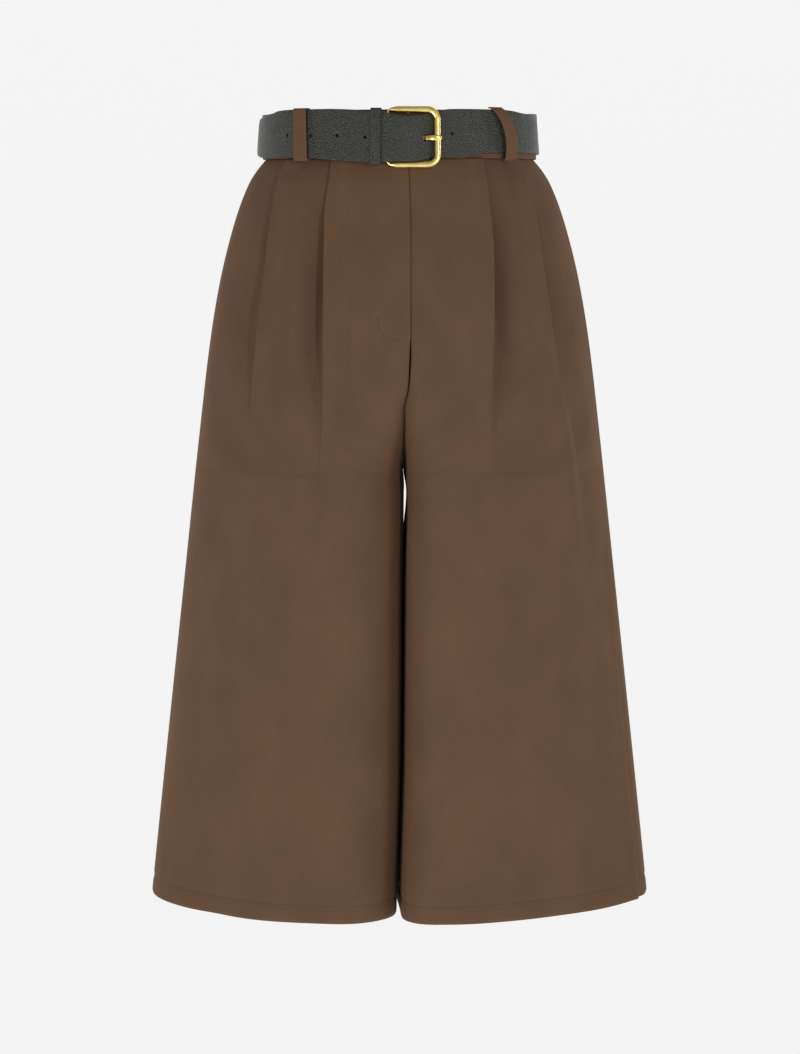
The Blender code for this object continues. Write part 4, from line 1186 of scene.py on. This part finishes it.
def build_keeper(material):
    """The leather band round both layers of the strap."""
    deep, tall = KEEPER_OUT - LOOP_GAP, KEEPER_TOP - KEEPER_BOTTOM
    low, high = KEEPER_ROUND
    wall = rounded_section(KEEPER_WALL, high - low, KEEPER_ROUNDING, THIN_CORNER_STEPS)
    sections = []
    for out, rise in rounded_section(deep, tall, KEEPER_BEND, KEEPER_BEND_STEPS):
        sections.append([
            on_band(
                (low + high) / 2 + beside,
                (LOOP_GAP + KEEPER_OUT) / 2 + out * (1 - (KEEPER_WALL - 2 * inward) / deep),
                (KEEPER_TOP + KEEPER_BOTTOM) / 2 + rise * (1 - (KEEPER_WALL - 2 * inward) / tall),
            )
            for inward, beside in wall
        ])
    mesh = loft("belt_keeper", sections, closed=True)
    return place("belt_keeper_leather", mesh, material, "leather", "belt_keeper")


def buckle_path(width):
    """The middle line of the buckle's frame, across from its hinge bar and height, in short steps."""
    points = []
    for corner, middle_x, middle_z, first in (
        (HINGE_CORNER, HINGE_CORNER, BUCKLE_BOTTOM + HINGE_CORNER, 180),
        (BUCKLE_CORNER, width - BUCKLE_CORNER, BUCKLE_BOTTOM + BUCKLE_CORNER, 270),
        (BUCKLE_CORNER, width - BUCKLE_CORNER, BUCKLE_TOP - BUCKLE_CORNER, 0),
        (HINGE_CORNER, HINGE_CORNER, BUCKLE_TOP - HINGE_CORNER, 90),
    ):
        for turn in range(0, 91, BUCKLE_TURN):
            angle = math.radians(first + turn)
            points.append((middle_x + corner * math.cos(angle), middle_z + corner * math.sin(angle)))
    path = []
    for (across, height), (next_across, next_height) in zip(points, points[1:] + points[:1]):
        steps = max(1, int(math.hypot(next_across - across, next_height - height) / BUCKLE_STEP))
        for t in np.arange(steps) / steps:
            path.append((across * (1 - t) + next_across * t, height * (1 - t) + next_height * t))
    return path


def build_buckle_frame(material):
    """A rounded brass frame: full bars, thinning into the hinge bar inside the folded strap."""
    hinge = on_band(HINGE_ROUND, HINGE_OUT, 0.0)
    width = np.linalg.norm(on_band(FRONT_BAR_ROUND, FRONT_BAR_OUT, 0.0) - hinge)
    path = buckle_path(width)
    curve = bpy.data.curves.new("buckle_frame", "CURVE")
    curve.dimensions = "3D"
    curve.bevel_depth = BAR_RADIUS * MM
    curve.bevel_resolution = BAR_SMOOTHNESS
    spline = curve.splines.new("POLY")
    spline.points.add(len(path) - 1)
    spline.use_cyclic_u = True
    thin = HINGE_RADIUS / BAR_RADIUS
    for point, (across, height) in zip(spline.points, path):
        hinge = on_band(HINGE_ROUND, HINGE_OUT, height)
        front = on_band(FRONT_BAR_ROUND, FRONT_BAR_OUT, height)
        spot = hinge + (front - hinge) * across / width
        point.co = (*(spot * MM), 1.0)
        point.radius = thin + (1 - thin) * float(ease(across / BUCKLE_CORNER))
    curve_object = add_object("buckle_curve", curve)
    mesh = made_mesh(curve_object)
    bpy.data.objects.remove(curve_object, do_unlink=True)
    mesh.shade_smooth()
    return place("buckle_frame_brass", mesh, material, "brass", "buckle_frame")


def build_prong(material):
    """A flat brass prong, its eye round the hinge bar and its tip over the front bar."""
    rows = np.array(PRONG_ROWS)
    along = run_along(rows[:, :2])
    rows = smooth_rows(along, rows, PRONG_POINTS)
    left = along[-1] - np.linspace(0.0, along[-1], PRONG_POINTS)
    end = np.sqrt(np.maximum(1 - (1 - np.minimum(left / PRONG_END, 1.0)) ** 2, PRONG_END_LEAST))
    angle = np.linspace(0.0, 2 * math.pi, PRONG_SIDES + 1)[:-1]
    out = np.sign(np.cos(angle)) * np.abs(np.cos(angle)) ** PRONG_POWER
    rise = np.sign(np.sin(angle)) * np.abs(np.sin(angle)) ** PRONG_POWER * PRONG_HALF_HEIGHT
    middles = np.array([on_band(row[0], row[1], PRONG_HEIGHT)[:2] for row in rows])
    sections = []
    for half, (x, y), (run_x, run_y), share in zip(rows[:, 2], middles, directions(middles), end):
        beside = half * share * out
        corners = (x - beside * run_y, y + beside * run_x, PRONG_HEIGHT + share * rise)
        sections.append(np.stack(corners, axis=1))
    mesh = loft("buckle_prong", sections)
    return place("buckle_prong_brass", mesh, material, "brass", "buckle_prong")


def stitch_line(name, path, material):
    """A row of sewn stitches along a path of points, each a short thread half sunk in the cloth."""
    path = np.asarray(path, float)
    along = run_along(path)
    points, faces = [], []
    start = STITCH_SPACING - STITCH_LENGTH
    while start + STITCH_LENGTH < along[-1]:
        low, high = (
            np.array([np.interp(at, along, values) for values in path.T])
            for at in (start, start + STITCH_LENGTH)
        )
        run = (high - low) / np.linalg.norm(high - low)
        upright = abs(run[2]) > UPRIGHT
        one = np.cross(run, (1.0, 0.0, 0.0) if upright else (0.0, 0.0, 1.0))
        one = one / np.linalg.norm(one)
        two = np.cross(run, one)
        faces += tube_faces(len(points), len(STITCH_RINGS), STITCH_SIDES)
        for share, fat in STITCH_RINGS:
            for k in range(STITCH_SIDES):
                angle = 2 * math.pi * k / STITCH_SIDES
                spoke = math.cos(angle) * one + math.sin(angle) * two
                points.append(low + (high - low) * share + spoke * fat * STITCH_RADIUS)
        start += STITCH_SPACING
    return place(name, mesh_from(name, points, faces), material, "cloth")


def outward_normals(points):
    """The outward direction at each point of a panel's grid, from its neighbours."""
    down = np.gradient(points, axis=0)
    across = np.gradient(points, axis=1)
    normal = np.cross(across, down)
    normal = normal / np.maximum(np.linalg.norm(normal, axis=2), 1e-9)[:, :, None]
    middle = points.mean(axis=(0, 1))
    return normal * np.sign((normal * (points - middle)).sum(axis=2).mean())


def hem_stitches(name, points, material):
    """The stitching that holds one panel's hem."""
    row = points.shape[0] - 1 - HEM_ROWS
    normal = outward_normals(points)[row]
    return stitch_line(name, points[row] + normal * STITCH_SINK, material)


def fly_stitches(points, material):
    """The lower end of the fly's topstitching, on the front's own points."""
    normal = outward_normals(points)
    path = []
    for x, z in fly_path():
        away = (points[:, :, 0] - x) ** 2 + (points[:, :, 2] - z) ** 2
        weight = np.exp(-away / STITCH_REACH**2)
        weight = weight / weight.sum()
        spot = (points * weight[:, :, None]).sum(axis=(0, 1))
        lift = (normal * weight[:, :, None]).sum(axis=(0, 1))
        path.append(spot + lift / np.linalg.norm(lift) * STITCH_SINK)
    return stitch_line("fly_stitches", path, material)


# Materials


def new_material(name, coordinates):
    """A material's nodes, its shader, and the texture coordinates of this kind in metres."""
    material = bpy.data.materials.new(name)
    material.use_nodes = True
    tree = material.node_tree
    metres = add_node(tree, "ShaderNodeTexCoord").outputs[coordinates]
    return material, tree, tree.nodes["Principled BSDF"], metres


def fill(tree, node, **inputs):
    """Sets a node's inputs to numbers, or links other nodes' outputs to them."""
    for name, value in inputs.items():
        socket = node.inputs[name.replace("_", " ")]
        if isinstance(value, bpy.types.NodeSocket):
            tree.links.new(value, socket)
        else:
            socket.default_value = value


def add_node(tree, kind, settings=(), **inputs):
    """A node with its settings and its inputs."""
    node = tree.nodes.new(kind)
    for name, value in dict(settings).items():
        setattr(node, name, value)
    fill(tree, node, **inputs)
    return node


def scaled(tree, metres, scale):
    """Coordinates in metres, scaled."""
    return add_node(tree, "ShaderNodeMapping", Vector=metres, Scale=scale).outputs["Vector"]


def noise(tree, metres, scale, detail, roughness=0.5, output="Fac"):
    """Noise of this many patches to a metre each way."""
    vector = scaled(tree, metres, scale)
    node = add_node(
        tree, "ShaderNodeTexNoise", Vector=vector, Scale=1.0, Detail=detail, Roughness=roughness
    )
    return node.outputs[output]


def bands(tree, vector, direction, scale, distortion, **inputs):
    """Even bands, this many to a metre, a little bent."""
    settings = {"wave_type": "BANDS", "bands_direction": direction}
    node = add_node(
        tree, "ShaderNodeTexWave", settings, Vector=vector, Scale=scale, Distortion=distortion, **inputs
    )
    return node.outputs["Fac"]


def spread(tree, value, low, high, to_low, to_high):
    """A value's range from low to high turned into another range."""
    node = add_node(
        tree, "ShaderNodeMapRange", {"clamp": True},
        Value=value, From_Min=low, From_Max=high, To_Min=to_low, To_Max=to_high,
    )
    return node.outputs["Result"]


def blend_colours(tree, factor, one, two):
    """One colour turning into another."""
    node = add_node(tree, "ShaderNodeMix", {"data_type": "RGBA"}, Factor=factor)
    colours = [socket for socket in node.inputs if socket.type == "RGBA"]
    for socket, value in zip(colours, (one, two)):
        if isinstance(value, bpy.types.NodeSocket):
            tree.links.new(value, socket)
        else:
            socket.default_value = (*value, 1.0)
    return next(socket for socket in node.outputs if socket.type == "RGBA")


def bump(tree, height, distance, strength, **under):
    """A bump of a real height in metres, over another bump when that is given as Normal."""
    node = add_node(
        tree, "ShaderNodeBump", Height=height, Distance=distance, Strength=strength, **under
    )
    return node.outputs["Normal"]


def cloth_material():
    """Brushed cotton twill: a fine diagonal rib, short fibres lying down the leg, a soft nap."""
    material, tree, shader, metres = new_material("brushed_twill", "UV")
    mottle = noise(tree, metres, MOTTLE_SCALE, detail=5.0, roughness=0.6)
    fibres = noise(tree, metres, FIBRE_SCALE, detail=3.0, roughness=0.65)
    specks = noise(tree, metres, SPECK_SCALE, detail=2.0)
    rib = bands(tree, metres, "DIAGONAL", RIB_SCALE, 0.6, Detail=1.0)
    colour = blend_colours(tree, spread(tree, mottle, 0.35, 0.65, 0.0, 1.0), CLOTH_DARK, CLOTH_LIGHT)
    colour = blend_colours(tree, spread(tree, fibres, 0.55, 0.80, 0.0, 0.45), colour, CLOTH_FIBRE)
    colour = blend_colours(tree, spread(tree, specks, 0.30, 0.45, 0.35, 0.0), colour, THREAD)
    normal = bump(tree, mottle, MOTTLE_BUMP, 0.5)
    normal = bump(tree, fibres, FIBRE_BUMP, 0.7, Normal=normal)
    normal = bump(tree, rib, RIB_BUMP, 0.5, Normal=normal)
    fill(
        tree, shader, Base_Color=colour, Normal=normal, Roughness=0.9, Specular_IOR_Level=0.12,
        Sheen_Weight=0.10, Sheen_Roughness=0.45, Sheen_Tint=CLOTH_SHEEN,
    )
    return material


def thread_material():
    """Matte sewing thread, twisted, a little darker than the cloth."""
    material, tree, shader, metres = new_material("sewing_thread", "Object")
    twist = noise(tree, metres, TWIST_SCALE, detail=1.0)
    colour = blend_colours(tree, twist, THREAD, CLOTH_DARK)
    fill(tree, shader, Base_Color=colour, Normal=bump(tree, twist, TWIST_BUMP, 0.6), Roughness=0.75)
    return material


def leather_material():
    """Half-matte pebbled leather: rounded grains with creases between them, the grain tops painted
    lighter as painted highlight and the creases darker as painted shade.
    """
    material, tree, shader, metres = new_material("pebbled_leather", "Object")
    wander = noise(tree, metres, GRAIN_WANDER_SCALE, detail=2.0, output="Color")
    bent = add_node(tree, "ShaderNodeVectorMath", {"operation": "MULTIPLY_ADD"})
    tree.links.new(wander, bent.inputs[0])
    bent.inputs[1].default_value = GRAIN_WANDER
    tree.links.new(metres, bent.inputs[2])
    grain = add_node(
        tree, "ShaderNodeTexVoronoi", {"feature": "SMOOTH_F1"},
        Vector=bent.outputs["Vector"], Scale=GRAIN_SCALE, Smoothness=0.3,
    ).outputs["Distance"]
    pores = noise(tree, metres, PORE_SCALE, detail=2.0)
    wear = noise(tree, metres, WEAR_SCALE, detail=4.0)
    # How high the grain stands: it bumps the leather, and it paints the tops lighter as painted
    # highlight and the creases darker as painted shade
    raised_and_lit = spread(tree, grain, 0.15, 0.75, 1.0, 0.0)
    normal = bump(tree, wear, WEAR_BUMP, 0.4)
    normal = bump(tree, raised_and_lit, GRAIN_BUMP, 0.9, Normal=normal)
    normal = bump(tree, pores, PORE_BUMP, 0.5, Normal=normal)
    fill(
        tree, shader, Base_Color=blend_colours(tree, raised_and_lit, LEATHER_SHADED_CREASE, LEATHER_LIT_GRAIN),
        Normal=normal, Roughness=spread(tree, wear, 0.3, 0.7, 0.34, 0.44), Specular_IOR_Level=0.40,
    )
    return material


def brass_material():
    """Satin gold-coloured brass with fine brushing and a little tarnish."""
    material, tree, shader, metres = new_material("satin_brass", "Object")
    brushing = noise(tree, metres, BRUSHING_SCALE, detail=3.0, roughness=0.7)
    tarnish = noise(tree, metres, TARNISH_SCALE, detail=4.0)
    colour = blend_colours(tree, spread(tree, tarnish, 0.35, 0.65, 0.0, 1.0), BRASS_DEEP, BRASS_BRIGHT)
    fill(
        tree, shader, Base_Color=colour, Normal=bump(tree, brushing, BRUSHING_BUMP, 0.5),
        Roughness=spread(tree, brushing, 0.3, 0.7, 0.26, 0.38), Metallic=1.0,
    )
    return material


def zip_material():
    """Woven zip tape."""
    material, tree, shader, metres = new_material("zip_tape", "Object")
    weave = bands(tree, metres, "Z", WEAVE_SCALE, 0.4)
    colour = blend_colours(tree, weave, THREAD, CLOTH_DARK)
    fill(tree, shader, Base_Color=colour, Normal=bump(tree, weave, WEAVE_BUMP, 0.6), Roughness=0.8)
    return material


def paper_material():
    """The backdrop's pale paper, which glows so that it stays even."""
    material, tree, shader, _ = new_material("backdrop_paper", "Object")
    fill(
        tree, shader, Base_Color=BACKDROP_SHADE, Roughness=1.0, Specular_IOR_Level=0.0,
        Emission_Color=WHITE, Emission_Strength=BACKDROP_GLOW,
    )
    return material


# Stage, light and camera


def build_stage():
    """A plain pale floor that curves up into the backdrop."""
    profile = [(STAGE_FRONT, FLOOR_HEIGHT)]
    for angle in np.linspace(0.0, math.pi / 2, STAGE_STEPS + 1):
        profile.append((
            STAGE_BACK - STAGE_CURVE + STAGE_CURVE * math.sin(angle),
            FLOOR_HEIGHT + STAGE_CURVE * (1 - math.cos(angle)),
        ))
    profile.append((STAGE_BACK, STAGE_TOP))
    points = [
        (side * STAGE_HALF_WIDTH / MM, y / MM, z / MM) for y, z in profile for side in (-1, 1)
    ]
    mesh = mesh_from("backdrop", points, grid_faces(len(profile), 2, False))
    mesh.materials.append(paper_material())
    add_object("backdrop", mesh)


def aim_object(obj, place_m, target_m):
    """Stands a light or a camera at a place and points it at its target."""
    obj.location = place_m
    aim = Vector(target_m) - Vector(place_m)
    obj.rotation_euler = aim.to_track_quat("-Z", "Y").to_euler()


def build_lights():
    """Large soft lights and an even pale world."""
    for name, place_m, target_m, size, power in LIGHT_ROWS:
        lamp = bpy.data.lights.new(name, "AREA")
        lamp.shape = "DISK"
        lamp.size = size
        lamp.energy = power
        aim_object(add_object(name, lamp), place_m, target_m)
    world = bpy.data.worlds.new("studio")
    world.use_nodes = True
    sky = world.node_tree.nodes["Background"]
    sky.inputs["Color"].default_value = WHITE
    sky.inputs["Strength"].default_value = WORLD_STRENGTH
    bpy.context.scene.world = world
    bpy.context.scene.view_settings.view_transform = "Standard"


def build_camera():
    """The photographed view."""
    camera = bpy.data.cameras.new("camera")
    camera.lens = CAMERA_LENS
    camera.sensor_width = CAMERA_SENSOR
    obj = add_object("camera", camera)
    aim_object(obj, CAMERA_PLACE, (CAMERA_PLACE[0], 0.0, CAMERA_PLACE[2] - CAMERA_DROP))
    bpy.context.scene.camera = obj


# The whole


def build_cloth():
    """The panels with their sewing, the waistband and the loops."""
    cloth, thread = cloth_material(), thread_material()
    for name, side, face, width, length, area in PANEL_ROWS:
        panel, points = build_panel(name, side, face, cloth)
        sewing = [hem_stitches(name + "_hem_stitches", points, thread)]
        if name == "front_right":
            sewing.append(fly_stitches(points, thread))
    band = build_waistband(cloth)
    for number, row in enumerate(LOOP_ROWS, start=1):
        loop = build_loop(number, row, cloth)


def build_belt():
    """The leather strap and keeper, and the brass buckle."""
    leather, brass = leather_material(), brass_material()
    build_belt_strap(leather)
    build_keeper(leather)
    build_buckle_frame(brass)
    build_prong(brass)


def main():
    """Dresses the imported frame."""
    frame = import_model()
    build_cloth()
    build_belt()
    for slot in frame["nodes"]["fly_zip"].material_slots:
        slot.material = zip_material()
    build_stage()
    build_lights()
    build_camera()


main()
